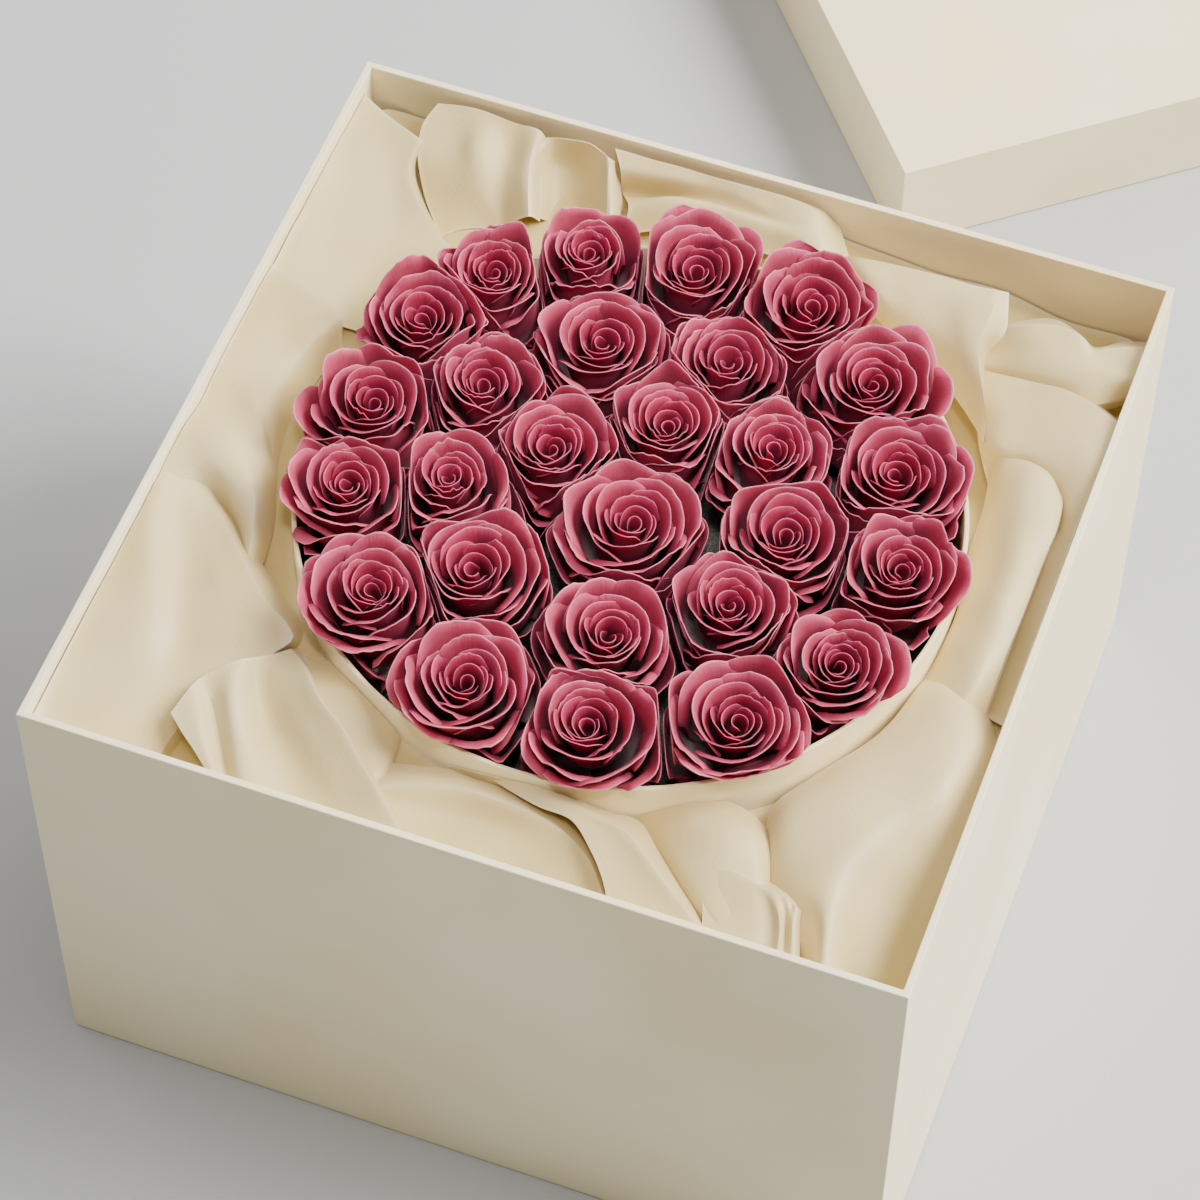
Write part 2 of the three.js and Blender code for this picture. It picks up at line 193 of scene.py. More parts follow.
# A dent's place and width as shares of half a petal's width, and its depth as shares of the reach
DENT_PLACE = 0.7
DENT_WIDE = 0.2
DENT_DEEP = (-0.075, 0.03)
PETAL_ACROSS = 19
PETAL_ALONG = 13
PETAL_THICK = 0.34
# How far apart two layers are in the petals' UV map
UV_LAYER = 10
HEART_TINT = (0.74, 0.44, 0.58, 1)
# Finishes that the panel has no setting for: light colour, dark colour
DRUM_PAPER = ("#F5E6B8", "#EEDBA4")
# Foam cells: grey, partly the foam's own colour and partly drawn paler to lift the shade in the gaps
# between the heads
FOAM_CELLS = ("#60625E", "#42443F")
STEM_TAPE = ("#4D5B3B", "#36432A")
# The painted highlight on the satin's sharp ridges
RIDGE_HIGHLIGHT_COLOUR = "#F6EDD0"
SATIN_SHEEN = "#FFF6E4"
PETAL_SHEEN = "#F48FA9"
# The share of the light that passes through a layer
SATIN_THROUGH = 0.22
PETAL_THROUGH = 0.44
# The pointiness at which the painted highlight on a fold starts, and at which it is full
RIDGE_HIGHLIGHT_POINTINESS = (0.52, 0.66)
# The size of each finish's pattern as drawn, in millimetres
PAPER_CLOUD = 111
PAPER_TOOTH = 0.8
SATIN_CLOUD = 71.4
SATIN_THREADS = 3.696
SATIN_CRUMPLE = 16.67
PETAL_BLOTCH = 11.1
PETAL_GRAIN = 0.714
# Veins across a petal's width
PETAL_VEINS = 36
# Painted shade: the cloth is painted golden below the first height and plain above the second, in metres
GOLDEN_SHADE_HEIGHTS = (0.215, 0.231)

SEPALS = 5
SEPAL_WIDE = 4.6
SEPAL_LONG = 6
SEPAL_DROOP = 3.2
SEPAL_THICK = 0.5
STEM_SIDES = 20

# The cloth's folded panels. Each is a list of rails, and each rail a list of (x, y, z) in
# millimetres. x and y are where the place lines up in the photograph with the grid at SEEN_HEIGHT;
# SLIDE moves it along the line of sight to its own height.
SEEN_HEIGHT = 228
SLIDE = (0.239, -0.665)
PANELS = {
    "left_back": [
        [(-180, 172, 232), (-180, 140, 233), (-180, 100, 234), (-180, 50, 233)],
        [(-161, 162, 232), (-160, 130, 229), (-156, 95, 227), (-150, 50, 224)],
        [(-152, 158, 232), (-151, 130, 228), (-141, 100, 225), (-138, 50, 218)],
        [(-144.5, 155, 232), (-146, 146, 231), (-145, 139.5, 230), (-137, 126, 229), (-124, 113, 226),
         (-112, 102, 222), (-108, 84, 220), (-120, 50, 218)],
        [(-141, 153, 216), (-141, 140, 214), (-133, 125, 213), (-120, 111, 212), (-107, 99, 211),
         (-104, 82, 211), (-117, 50, 211)],
    ],
    "left": [
        [(-180, 62, 230), (-165, 62, 227), (-150, 55, 223), (-140, 45, 218), (-134, 34, 212)],
        [(-180, 70, 234), (-170, 67, 233.5), (-161, 64, 233), (-148, 58, 230), (-141, 54, 227),
         (-138, 46, 221), (-134, 36, 214)],
        [(-180, 40, 235), (-162, 38, 231), (-149, 30, 225), (-139, 20, 213)],
        [(-180, 12, 234), (-162, 10, 230), (-149, 2, 223), (-141, -10, 211)],
        [(-180, -12, 232), (-168, -12, 231), (-156, -15, 229), (-144, -24, 226), (-136, -36, 221),
         (-130, -50, 218), (-126, -62, 216), (-124, -74, 214)],
        [(-180, -24, 236), (-167, -23.8, 236.5), (-156, -28, 236.5), (-146, -35.6, 236),
         (-138.4, -45.6, 235), (-135.8, -51.6, 234), (-132, -64.5, 230), (-129.7, -74.1, 224)],
        [(-180, -34, 236), (-168, -33, 235.5), (-158, -36, 235), (-149, -43, 233), (-143, -51, 230),
         (-139, -57, 227), (-134.5, -67, 223), (-130.5, -76, 219)],
        [(-180, -44, 235), (-170, -44, 232), (-161, -47, 226), (-153, -50, 221), (-146, -55.5, 218),
         (-140, -62, 216), (-134, -71, 214), (-129.5, -79, 213)],
        [(-180, -56, 232), (-170, -58, 228), (-160, -60, 220), (-152, -62, 214), (-145, -66, 212),
         (-139, -71, 211), (-133, -78, 210), (-128, -84, 210)],
    ],
    "left_front": [
        [(-180, -34, 228), (-180, -52, 231), (-180, -80, 233), (-180, -130, 234), (-180, -174, 232)],
        [(-178, -34, 230), (-176, -46, 233.5), (-174, -59, 236), (-168, -78, 236), (-161, -96, 235),
         (-153, -114, 233), (-150, -140, 228), (-152, -173, 225)],
        [(-170, -34, 229), (-168, -46, 230), (-164, -58, 230), (-156, -76, 229), (-148, -94, 228),
         (-141, -112, 227), (-137, -140, 224), (-140, -173, 221)],
        [(-163, -36, 226), (-159, -47, 226), (-153, -58, 228), (-143, -73, 230), (-133, -88, 231),
         (-122, -103, 229), (-124, -130, 223), (-130, -173, 219)],
        [(-158, -40, 221), (-154, -50, 223), (-147.8, -56.1, 227), (-139.7, -64.7, 231),
         (-126.3, -78, 233), (-114.3, -89.1, 233), (-101, -98, 231), (-98, -101, 229), (-103, -113, 225),
         (-113, -130, 221), (-122, -150, 219), (-126, -173, 218)],
        [(-153, -40, 213), (-150, -49, 214), (-144, -55, 214), (-136, -62, 214), (-124, -74, 213),
         (-111, -85, 212), (-97, -96, 211), (-94, -101, 210), (-98, -115, 209), (-106, -132, 208),
         (-116, -150, 208), (-120, -173, 208)],
    ],
    "front_left": [
        [(-124, -154.5, 214), (-115.5, -162.5, 214), (-98.5, -178, 214)],
        [(-128, -151, 231), (-120, -158, 232), (-113.5, -163, 232), (-96.5, -178, 230)],
        [(-126, -139, 232), (-118, -149, 233), (-111, -158.5, 233), (-95.5, -178, 231)],
        [(-123.5, -131.5, 229), (-115, -142.5, 226), (-107, -154.5, 225), (-92.5, -178, 225)],
        [(-116, -122.5, 231), (-111, -133.5, 232), (-104.5, -146, 232), (-86.5, -178, 230)],
        [(-107.5, -116, 228), (-102.5, -128, 222), (-94.5, -140, 220), (-80, -156, 222),
         (-62.5, -178, 225)],
        [(-101.5, -111.5, 227), (-93.5, -122, 226), (-83, -133, 228), (-66.5, -148, 230),
         (-35.5, -178, 231)],
        [(-96.5, -107.5, 226), (-88.5, -112.5, 231), (-81, -121, 234), (-74, -127.5, 236),
         (-65.5, -133, 236.5), (-51.5, -146, 236.5), (-40.5, -156, 236.5), (-17.5, -178, 235)],
        [(-94.5, -107.5, 214), (-86, -112.5, 215), (-78, -120, 216), (-71.5, -126, 217),
         (-63, -131.5, 217), (-49.5, -144.5, 216), (-38.5, -154, 215), (-14.5, -178, 215)],
    ],
    "front_pocket": [
        [(-92, -108, 219), (-84, -118, 227), (-77, -126, 229), (-68, -134, 229), (-54, -147, 229),
         (-45, -156, 227), (-40, -160, 212)],
        [(-82, -109, 218), (-69, -117, 227), (-55, -130, 229), (-46, -143, 228), (-42, -149, 226),
         (-39, -150, 211)],
        [(-80, -107, 216), (-68, -113, 223), (-57, -120, 224), (-48, -128, 224), (-42.5, -134.5, 222),
         (-40, -134, 210)],
        [(-78, -104, 212), (-66, -109, 213), (-55, -115, 213), (-46, -122, 213), (-41, -128, 212),
         (-39, -128, 208)],
    ],
    "front_middle": [
        [(-46, -146, 214), (-32, -142, 217), (-14, -138, 218), (4, -137, 218), (20, -139, 217),
         (34, -143, 215), (48, -152, 215), (60, -168, 215)],
        [(-44, -156, 228), (-36, -153, 229), (-21, -147.5, 229), (-8, -145, 229), (4, -145, 229),
         (18, -146, 227), (32, -149, 224), (45, -157, 222), (58, -172, 222)],
        [(-42, -163, 225), (-26, -160, 222), (-8, -157, 220), (8, -156, 219), (24, -158, 219),
         (38, -164, 220), (52, -176, 221)],
        [(-34, -178, 223), (-18, -178, 220), (0, -178, 218), (14, -178, 217), (28, -178, 218),
         (38, -178, 219), (50, -178, 220)],
    ],
    "front_band": [
        [(-14, -132, 213), (0, -134, 216), (12, -137, 218), (25, -139.5, 219), (38, -141, 219),
         (50, -150.5, 219), (59, -162, 219), (65, -173, 219)],
        [(-18, -134, 219), (-4, -136, 223.5), (8, -139, 227), (21, -142, 229), (34, -143, 231),
         (45, -152, 232), (54, -163, 232), (60, -173, 231)],
        [(-16, -131, 221), (0, -133, 227), (14, -136, 230), (30, -139, 231), (44, -143, 231.5),
         (58, -155, 232), (72, -173, 231)],
        [(-12, -128.5, 219), (4, -130, 226), (22, -134, 230), (40, -138, 232), (56, -141.5, 234),
         (66, -149, 235), (80, -160, 235), (97, -173, 233)],
        [(-8, -127, 211), (8, -128, 212), (26, -131, 213), (46, -134, 213), (61, -137, 213),
         (72, -145, 213), (86, -156, 214), (102, -172, 215)],
    ],
    "front_puff": [
        [(50, -125, 211), (58, -136, 212), (70, -149, 213), (84, -162, 214), (98, -174, 215)],
        [(59, -122, 213), (68, -134, 221), (80, -149, 225), (92, -162, 226), (106, -174, 226)],
        [(72, -118.5, 217), (80, -128, 229), (90, -142, 231), (100, -157, 230), (112, -174, 228)],
        [(87, -115.5, 217), (92, -125, 230), (99, -138, 232), (107, -152, 230), (116, -174, 228)],
        [(98, -117.5, 216), (103, -127, 228), (108, -139, 230), (113, -152, 228), (120, -174, 226)],
        [(107, -123, 213), (110, -131, 221), (113, -143, 223), (117, -154, 222), (124, -174, 220)],
        [(108, -125, 208), (113, -134, 211), (116, -144, 211), (120, -155, 211), (128, -174, 211)],
    ],
    "front_ruffle": [
        [(88, -142, 215), (99, -140, 216), (110, -143, 217), (120, -144, 217), (127, -148, 214)],
        [(86, -147, 225), (90, -146, 229), (99, -143.6, 233), (111, -146.5, 234), (119, -147, 235),
         (122, -147.5, 235), (124, -149, 232), (126, -150, 233.5), (130, -152, 220)],
        [(92, -158, 227), (102, -157, 230), (112, -156, 232), (119, -155, 232), (121.6, -155, 235),
         (124, -155.5, 231), (127, -156, 234), (131, -157, 219)],
        [(98, -176, 226), (108, -176, 228), (118, -176, 229.5), (125, -176, 230), (128, -176, 234),
         (130.5, -176, 230), (133, -176, 233), (137, -176, 218)],
    ],
    "tongue": [
        [(140, -38, 211), (134, -64, 212), (116, -92, 211), (105, -113, 210), (107, -127, 211),
         (112, -146, 213), (122, -160, 215), (130, -174, 216)],
        [(141, -35, 212), (140, -40, 219), (134, -62, 225), (119, -91, 226), (108.5, -113, 226),
         (110.5, -126, 225), (115, -141, 221), (127, -158, 218), (138, -174, 216)],
        [(143.6, -31, 212), (144, -36, 222), (141, -58, 231), (131, -86, 233), (122, -110, 233),
         (122, -126, 231), (127, -143, 228), (134, -151, 226), (143, -174, 224)],
        [(147.5, -28, 212), (148.5, -33, 223), (150, -55, 234), (147, -85, 236), (140, -110, 235),
         (136, -130, 233), (140, -150, 229), (147, -174, 226)],
        [(155.5, -30, 212), (157, -35, 223), (162, -55, 235), (162, -85, 234), (156, -112, 227),
         (153, -138, 219), (155, -158, 214), (158, -174, 212)],
        [(164, -35.5, 212), (165.5, -41, 221), (171, -58, 230), (172, -90, 225), (171, -120, 217),
         (170, -145, 211), (171, -160, 208), (171, -174, 207)],
        [(172, -44, 212), (175, -50, 217), (180, -64, 222), (180, -95, 221), (180, -120, 215),
         (180, -145, 210), (180, -160, 208), (180, -174, 207)],
    ],
    "right_middle": [
        [(133, 84, 212), (138, 60, 211), (140, 30, 211), (141, 0, 211), (141, -30, 211), (139, -50, 210)],
        [(139, 82.5, 221), (143, 62, 226), (147, 30, 227), (148, 0, 227), (148, -30, 225), (145, -55, 219)],
        [(149, 83.5, 222), (151, 78, 231), (154, 58, 234), (157, 30, 235), (158, 0, 234), (159, -30, 231),
         (158, -55, 222)],
        [(158, 79.5, 222), (160.5, 73, 231), (163, 58, 233), (164, 38, 233), (164, 10, 232),
         (164, -20, 230), (165, -50, 220)],
        [(163.5, 73.5, 221), (166, 66, 229), (167.5, 52, 231), (167, 38, 231), (167, 10, 230),
         (166.5, -15, 229), (168, -45, 219)],
        [(165, 74, 213), (168.5, 66, 214), (170, 52, 215), (169.5, 38, 215), (169.5, 10, 214),
         (169.5, -15, 213), (170, -45, 211)],
    ],
    "right_back": [
        [(112, 124, 211), (128, 124, 213), (140, 124, 216), (150, 124.5, 217), (161, 122, 218),
         (172, 117, 219), (180, 112, 220)],
        [(112, 120, 214), (126, 120, 222), (140, 120.5, 228), (150, 121, 231), (160.5, 118.5, 233),
         (171.5, 114, 234), (180, 109, 235)],
        [(116, 108, 216), (128, 106, 226), (143, 106, 230), (158, 105, 233), (170, 102, 235),
         (180, 98, 236)],
        [(122, 96, 217), (132, 94, 226), (146, 94, 229), (160, 92, 232), (170, 88, 235), (180, 84, 236)],
        [(126, 86, 216), (134, 84, 224), (146, 84, 226), (158, 80, 227), (169, 74, 231), (180, 68, 236)],
        [(130, 78, 213), (138, 76, 214), (150, 74, 216), (162, 70, 218), (170.5, 60, 228), (180, 52, 236)],
        [(150, 40, 210), (160, 40, 211), (166, 38, 214), (169, 36, 222), (174, 33, 230), (180, 30, 236)],
        [(155, 10, 210), (162, 8, 211), (167, 6, 214), (170, 4, 220), (174, 2, 228), (180, 0, 235)],
        [(158, -40, 209), (165, -42, 210), (169, -43, 212), (172, -44, 217), (176, -45, 224),
         (180, -46, 232)],
    ],
    "scallop": [
        [(114, 140, 212), (124, 151, 213), (139, 157, 214), (152, 152, 213), (156, 149, 213),
         (168, 156, 213), (180, 160, 213)],
        [(114, 136, 218), (118, 142, 224), (124, 147, 231), (131.5, 150.5, 234), (139, 152.5, 235),
         (146, 151.5, 235), (151.6, 148.5, 233), (155, 145.5, 231), (161, 148, 231), (168, 151.5, 232),
         (180, 155, 232)],
        [(114, 131, 219), (130, 139, 231), (146, 141, 233), (160, 140, 232), (172, 141, 232),
         (180, 144, 232)],
        [(116, 124, 219), (135, 125.5, 227), (150, 127, 230), (160, 130, 231), (171, 133.5, 232),
         (180, 136, 231)],
        [(118, 120, 216), (137, 120, 222), (152, 120, 224), (163, 118.5, 225), (172, 124, 224),
         (180, 131, 223)],
        [(120, 116, 213), (137, 116, 216), (152, 116, 218), (163, 114, 218), (173, 121, 217),
         (180, 128, 216)],
    ],
    "back_right": [
        [(40, 157, 214), (48, 149, 214), (56, 140, 213), (60, 132, 210)],
        [(46, 158.5, 226), (54, 150, 227), (62, 141, 224), (66, 133, 214)],
        [(66, 160, 230), (72, 148, 230), (78, 136, 226), (83, 121, 214)],
        [(88, 161, 232), (91, 147, 231), (95, 130, 227), (100, 112, 214)],
        [(102, 161, 233), (104, 150, 235), (106, 132, 235), (111, 118, 232), (117, 106, 227),
         (124, 90, 220)],
        [(109, 161.5, 234), (110, 152, 236), (111, 128, 236), (114, 119.5, 235), (120, 107, 232),
         (125, 95, 228), (128, 85, 220)],
        [(114, 162, 233), (116.6, 153, 231), (119, 143, 227), (116, 128, 218), (121, 112, 214),
         (129, 86, 210)],
    ],
    "back": [
        [(-66, 179, 235), (-40, 179, 236), (-10, 179, 236), (12, 179, 236), (24, 178, 233), (32, 178, 222)],
        [(-60, 169, 233), (-40, 172, 234), (-20, 174, 233), (5, 172, 233), (26, 176, 234), (36, 174, 221)],
        [(-56, 160, 217), (-44, 162, 218), (-25, 167, 225), (0, 166, 228), (30, 168, 233), (42, 165, 220)],
        [(-50, 152, 224), (-37, 161, 231), (-15, 164, 232), (8, 162, 232), (36, 157, 230), (48, 155, 218)],
        [(-48, 138, 216), (-30, 146, 222), (-10, 149, 222), (15, 148, 222), (42, 144, 220), (54, 142, 212)],
    ],
    "back_arch": [
        [(-97, 174, 234), (-96, 160, 234), (-91, 145, 232), (-86, 133, 227)],
        [(-89, 177, 236), (-88, 165, 222), (-84, 150, 216), (-79, 134, 211)],
        [(-79, 178, 237), (-79, 165, 220), (-75, 150, 214), (-71, 134, 209)],
        [(-70, 175, 237), (-68, 162, 225), (-64, 150, 219), (-61, 138, 213)],
        [(-66, 173, 236), (-62, 161, 235), (-58, 150, 233), (-54, 138, 228)],
        [(-61, 173, 228), (-57, 161, 221), (-52, 150, 217), (-49, 138, 212)],
    ],
    "back_left": [
        [(-146, 177, 234), (-148, 165, 232), (-145, 150, 227), (-136, 132, 218), (-120, 110, 211)],
        [(-134, 179, 235), (-130, 160, 231), (-124, 140, 225), (-110, 118, 213)],
        [(-122, 179, 235), (-121, 159, 234), (-114, 143, 228), (-100, 122, 214)],
        [(-110, 178, 235), (-109, 165, 230), (-104, 145, 227), (-95, 126, 216)],
        [(-99, 177, 236), (-97, 161, 236), (-92, 145, 234), (-87, 132, 228)],
        [(-94, 172, 229), (-92, 160, 226), (-87, 145, 224), (-83, 132, 219)],
    ],
}
# Which panels hang from a sharp crease: at their first rail, at their last
CREASED = {
    "left_back": (0, 1), "left": (1, 0), "left_front": (0, 1), "front_left": (1, 1),
    "front_middle": (1, 0), "front_band": (1, 1), "front_ruffle": (1, 0), "right_middle": (0, 1),
    "right_back": (1, 0), "scallop": (1, 1), "back_right": (0, 1),
}
CREASE_ROWS = 4
CREASE_ANGLE = 38
PANEL_ALONG = 60
ROWS_A_RAIL = 5
# The rails' depths below the highest fold are built at this share
FOLD_TOP = 236
FOLD_DEPTH = 0.8
# Soft waves that keep the cloth from looking pressed: their number, and their length and height
WAVE_COUNT = 7
PANEL_WAVES = (34, 0.4)
RING_WAVES = (60, 2.2)
# How far the cloth's middle surface keeps from the drum and the walls, and how far below the rim
PANEL_CLEAR = 0.8
RING_CLEAR = 0.3
RING_WALL_CLEAR = 0.9
BELOW_RIM = 1.5
# The power mean that rounds the cloth in the square box's corners
CORNER_POWER = 30
RING_AROUND = 280
RING_ACROSS = 20
# Under the drum the cloth's middle is left open: the opening's radius
HOLE_UNDER_DRUM = 40
CLOTH_VALLEY = 216
CLOTH_HEM = 219
# The slack is lower in the two right corners: their direction and width in degrees, the depth in mm
CORNER_DIPS = ((46, 22, 15), (316, 20, 11))
CLOTH_THICK = 0.5


def in_millimetres(length):
    """A property's length in metres as millimetres, without the property's rounding error."""
    return round(length / MM, 4)


def linear(hex_colour):
    """An sRGB hex colour as linear RGBA."""
    channels = [int(hex_colour[i:i + 2], 16) / 255 for i in (1, 3, 5)]
    return tuple(c / 12.92 if c <= 0.04045 else ((c + 0.055) / 1.055) ** 2.4 for c in channels) + (1.0,)


def set_inputs(tree, node, inputs=(), links=()):
    """Sets a node's inputs, by name or number, to values or links them to other nodes' outputs."""
    for name, value in dict(inputs).items():
        node.inputs[name].default_value = value
    for name, source in dict(links).items():
        tree.links.new(source, node.inputs[name])


def add_node(tree, kind, settings=(), inputs=(), links=(), stops=()):
    """Adds one node with its settings, its inputs' values and links, and a ramp's stops if it has any."""
    node = tree.nodes.new(kind)
    for name, value in dict(settings).items():
        setattr(node, name, value)
    set_inputs(tree, node, inputs, links)
    for number, (position, colour) in enumerate(stops):
        elements = node.color_ramp.elements
        if number == 0:
            elements.remove(elements[1])
            elements[0].position, elements[0].color = position, colour
        else:
            elements.new(position).color = colour
    return node


def scale_for(size):
    """A noise's scale for spots of a size in millimetres."""
    return 1 / (size * MM)


def new_material(name):
    """An empty material with one principled shader: the material, its tree and the shader."""
    material = bpy.data.materials.new(name)
    material.use_nodes = True
    tree = material.node_tree
    tree.nodes.clear()
    shader = add_node(tree, "ShaderNodeBsdfPrincipled")
    add_node(tree, "ShaderNodeOutputMaterial", links={"Surface": shader.outputs["BSDF"]})
    return material, tree, shader


def lit_through(tree, shader, colour, share):
    """Lets a share of the light pass through a thin sheet."""
    through = add_node(tree, "ShaderNodeBsdfTranslucent", inputs={"Color": colour})
    both = add_node(tree, "ShaderNodeMixShader", inputs={"Fac": share},
                    links={1: shader.outputs["BSDF"], 2: through.outputs["BSDF"]})
    out = next(node for node in tree.nodes if node.type == "OUTPUT_MATERIAL")
    tree.links.new(both.outputs["Shader"], out.inputs["Surface"])


def wrapped_paper_material(name, light, dark):
    """Matt art paper glued over greyboard: a fine tooth and a faint cloudiness, and no shine."""
    material, tree, shader = new_material(name)
    place = add_node(tree, "ShaderNodeTexCoord").outputs["Object"]
    cloud = add_node(tree, "ShaderNodeTexNoise", inputs={"Scale": scale_for(PAPER_CLOUD), "Detail": 3},
                     links={"Vector": place})
    tone = add_node(tree, "ShaderNodeValToRGB", links={"Fac": cloud.outputs["Fac"]},
                    stops=[(0.35, linear(dark)), (0.65, linear(light))])
    # The paper's tooth is about 0.3 mm, drawn at 0.8 mm so that it shows
    tooth = add_node(tree, "ShaderNodeTexNoise", inputs={"Scale": scale_for(PAPER_TOOTH), "Detail": 2},
                     links={"Vector": place})
    bump = add_node(tree, "ShaderNodeBump", inputs={"Strength": 0.12, "Distance": 0.0003},
                    links={"Height": tooth.outputs["Fac"]})
    set_inputs(tree, shader, {"Roughness": 0.72, "IOR": 1.48},
               {"Base Color": tone.outputs["Color"], "Normal": bump.outputs["Normal"]})
    return material


def silk_satin_material(light, dark, painted_fold_shade):
    """Thin woven satin: a soft sheen along the folds, a fine twill of threads, painted golden shade low in
    its folds and painted highlights on its sharp ridges.
    """
    material, tree, shader = new_material("ivory woven satin")
    place = add_node(tree, "ShaderNodeTexCoord").outputs["Object"]
    cloud = add_node(tree, "ShaderNodeTexNoise", inputs={"Scale": scale_for(SATIN_CLOUD), "Detail": 2},
                     links={"Vector": place})
    tone = add_node(tree, "ShaderNodeValToRGB", links={"Fac": cloud.outputs["Fac"]},
                    stops=[(0.3, linear(dark)), (0.7, linear(light))])
    # The threads lie 0.2 mm apart. They are drawn 2 to 4 mm apart, so that they show: the pattern
    # repeats 10 times its scale in 2 pi metres along an axis.
    threads = add_node(tree, "ShaderNodeTexWave",
                       {"wave_type": "BANDS", "bands_direction": "DIAGONAL", "wave_profile": "SIN"},
                       {"Scale": 2 * math.pi / 10 * scale_for(SATIN_THREADS), "Distortion": 1.5,
                        "Detail": 1}, {"Vector": place})
    weave = add_node(tree, "ShaderNodeBump", inputs={"Strength": 0.07, "Distance": 0.0002},
                     links={"Height": threads.outputs["Fac"]})
    crumple = add_node(tree, "ShaderNodeTexNoise",
                       inputs={"Scale": scale_for(SATIN_CRUMPLE), "Detail": 4, "Distortion": 0.8},
                       links={"Vector": place})
    bump = add_node(tree, "ShaderNodeBump", inputs={"Strength": 0.22, "Distance": 0.0016},
                    links={"Height": crumple.outputs["Fac"], "Normal": weave.outputs["Normal"]})
    # Painted shade: the cloth is painted golden low in its folds, where light that has passed through the
    # cloth makes it look golden
    height = add_node(tree, "ShaderNodeSeparateXYZ", links={"Vector": place}).outputs["Z"]
    deep = add_node(tree, "ShaderNodeMapRange",
                    inputs={"From Min": GOLDEN_SHADE_HEIGHTS[0], "From Max": GOLDEN_SHADE_HEIGHTS[1],
                            "To Min": 1, "To Max": 0},
                    links={"Value": height})
    colour = add_node(tree, "ShaderNodeMix", {"data_type": "RGBA"}, {7: linear(painted_fold_shade)},
                      {0: deep.outputs["Result"], 6: tone.outputs["Color"]})
    # Painted highlight: the sharp ridges are painted paler, where light would show in them
    bent = add_node(tree, "ShaderNodeNewGeometry").outputs["Pointiness"]
    ridge_highlight = add_node(tree, "ShaderNodeMapRange",
                     inputs={"From Min": RIDGE_HIGHLIGHT_POINTINESS[0], "From Max": RIDGE_HIGHLIGHT_POINTINESS[1]},
                     links={"Value": bent})
    highlighted = add_node(tree, "ShaderNodeMix", {"data_type": "RGBA"}, {7: linear(RIDGE_HIGHLIGHT_COLOUR)},
                     {0: ridge_highlight.outputs["Result"], 6: colour.outputs[2]})
    # The painted fold shade's colour also tints the light that passes through the cloth
    lit_through(tree, shader, linear(painted_fold_shade), SATIN_THROUGH)
    set_inputs(tree, shader,
               {"Roughness": 0.42, "IOR": 1.5, "Sheen Weight": 0.35, "Sheen Roughness": 0.4,
                "Sheen Tint": linear(SATIN_SHEEN)},
               {"Base Color": highlighted.outputs[2], "Normal": bump.outputs["Normal"]})
    return material


def preserved_petal_material(deep, middle, light, bright, rim):
    """Glycerine-preserved rose petal: velvety and matt, with painted shade darkest half way up, a pale root
    that lifts the shade between layers, and a painted highlight under its thin rim, which is partly paler
    in itself and partly painted highlight.
    """
    material, tree, shader = new_material("preserved rose petal")
    place = add_node(tree, "ShaderNodeTexCoord")
    parts = add_node(tree, "ShaderNodeSeparateXYZ", links={"Vector": place.outputs["UV"]})
    # Painted light along the petal from root to rim: a pale root that lifts the shade between layers,
    # painted shade darkest half way up, a painted highlight under the rim, and a thin rim that is partly
    # paler in itself and partly painted highlight
    tone = add_node(tree, "ShaderNodeValToRGB", links={"Fac": parts.outputs["Y"]},
                    stops=[(0.26, linear(deep)), (0.52, linear(middle)), (0.85, linear(light)),
                           (0.955, linear(bright)), (0.985, linear(rim))])
    blotch = add_node(tree, "ShaderNodeTexNoise",
                      inputs={"Scale": scale_for(PETAL_BLOTCH), "Detail": 4, "Roughness": 0.6},
                      links={"Vector": place.outputs["Object"]})
    shade = add_node(tree, "ShaderNodeMapRange", inputs={"From Min": 0.3, "From Max": 0.7,
                                                         "To Min": 0.74, "To Max": 1.14},
                     links={"Value": blotch.outputs["Fac"]})
    # The petals round the heart are made darker and more crimson
    inward = add_node(tree, "ShaderNodeMapRange",
                      inputs={"From Min": 2 * UV_LAYER, "From Max": 5 * UV_LAYER},
                      links={"Value": parts.outputs["X"]})
    crimson = add_node(tree, "ShaderNodeValToRGB", links={"Fac": inward.outputs["Result"]},
                       stops=[(0.0, (1, 1, 1, 1)), (1.0, HEART_TINT)])
    tinted = add_node(tree, "ShaderNodeVectorMath", {"operation": "MULTIPLY"},
                      links={0: tone.outputs["Color"], 1: crimson.outputs["Color"]})
    mixed = add_node(tree, "ShaderNodeVectorMath", {"operation": "SCALE"},
                     links={0: tinted.outputs["Vector"], "Scale": shade.outputs["Result"]})
    # A petal's veins run from its root to its rim, 0.4 mm apart round the heart to 1.5 mm outside
    stretch = add_node(tree, "ShaderNodeMapping", inputs={"Scale": (PETAL_VEINS, 3, 1)},
                       links={"Vector": place.outputs["UV"]})
    veins = add_node(tree, "ShaderNodeTexNoise", inputs={"Scale": 1, "Detail": 3},
                     links={"Vector": stretch.outputs["Vector"]})
    grain = add_node(tree, "ShaderNodeTexNoise", inputs={"Scale": scale_for(PETAL_GRAIN), "Detail": 2},
                     links={"Vector": place.outputs["Object"]})
    relief = add_node(tree, "ShaderNodeMath", {"operation": "MULTIPLY_ADD"}, {1: 0.35},
                      {0: grain.outputs["Fac"], 2: veins.outputs["Fac"]})
    bump = add_node(tree, "ShaderNodeBump", inputs={"Strength": 0.5, "Distance": 0.0006},
                    links={"Height": relief.outputs["Value"]})
    lit_through(tree, shader, linear(light), PETAL_THROUGH)
    set_inputs(tree, shader,
               {"Roughness": 0.62, "IOR": 1.42, "Sheen Weight": 0.1, "Sheen Roughness": 0.35,
                "Sheen Tint": linear(PETAL_SHEEN)},
               {"Base Color": mixed.outputs["Vector"], "Normal": bump.outputs["Normal"]})
    return material


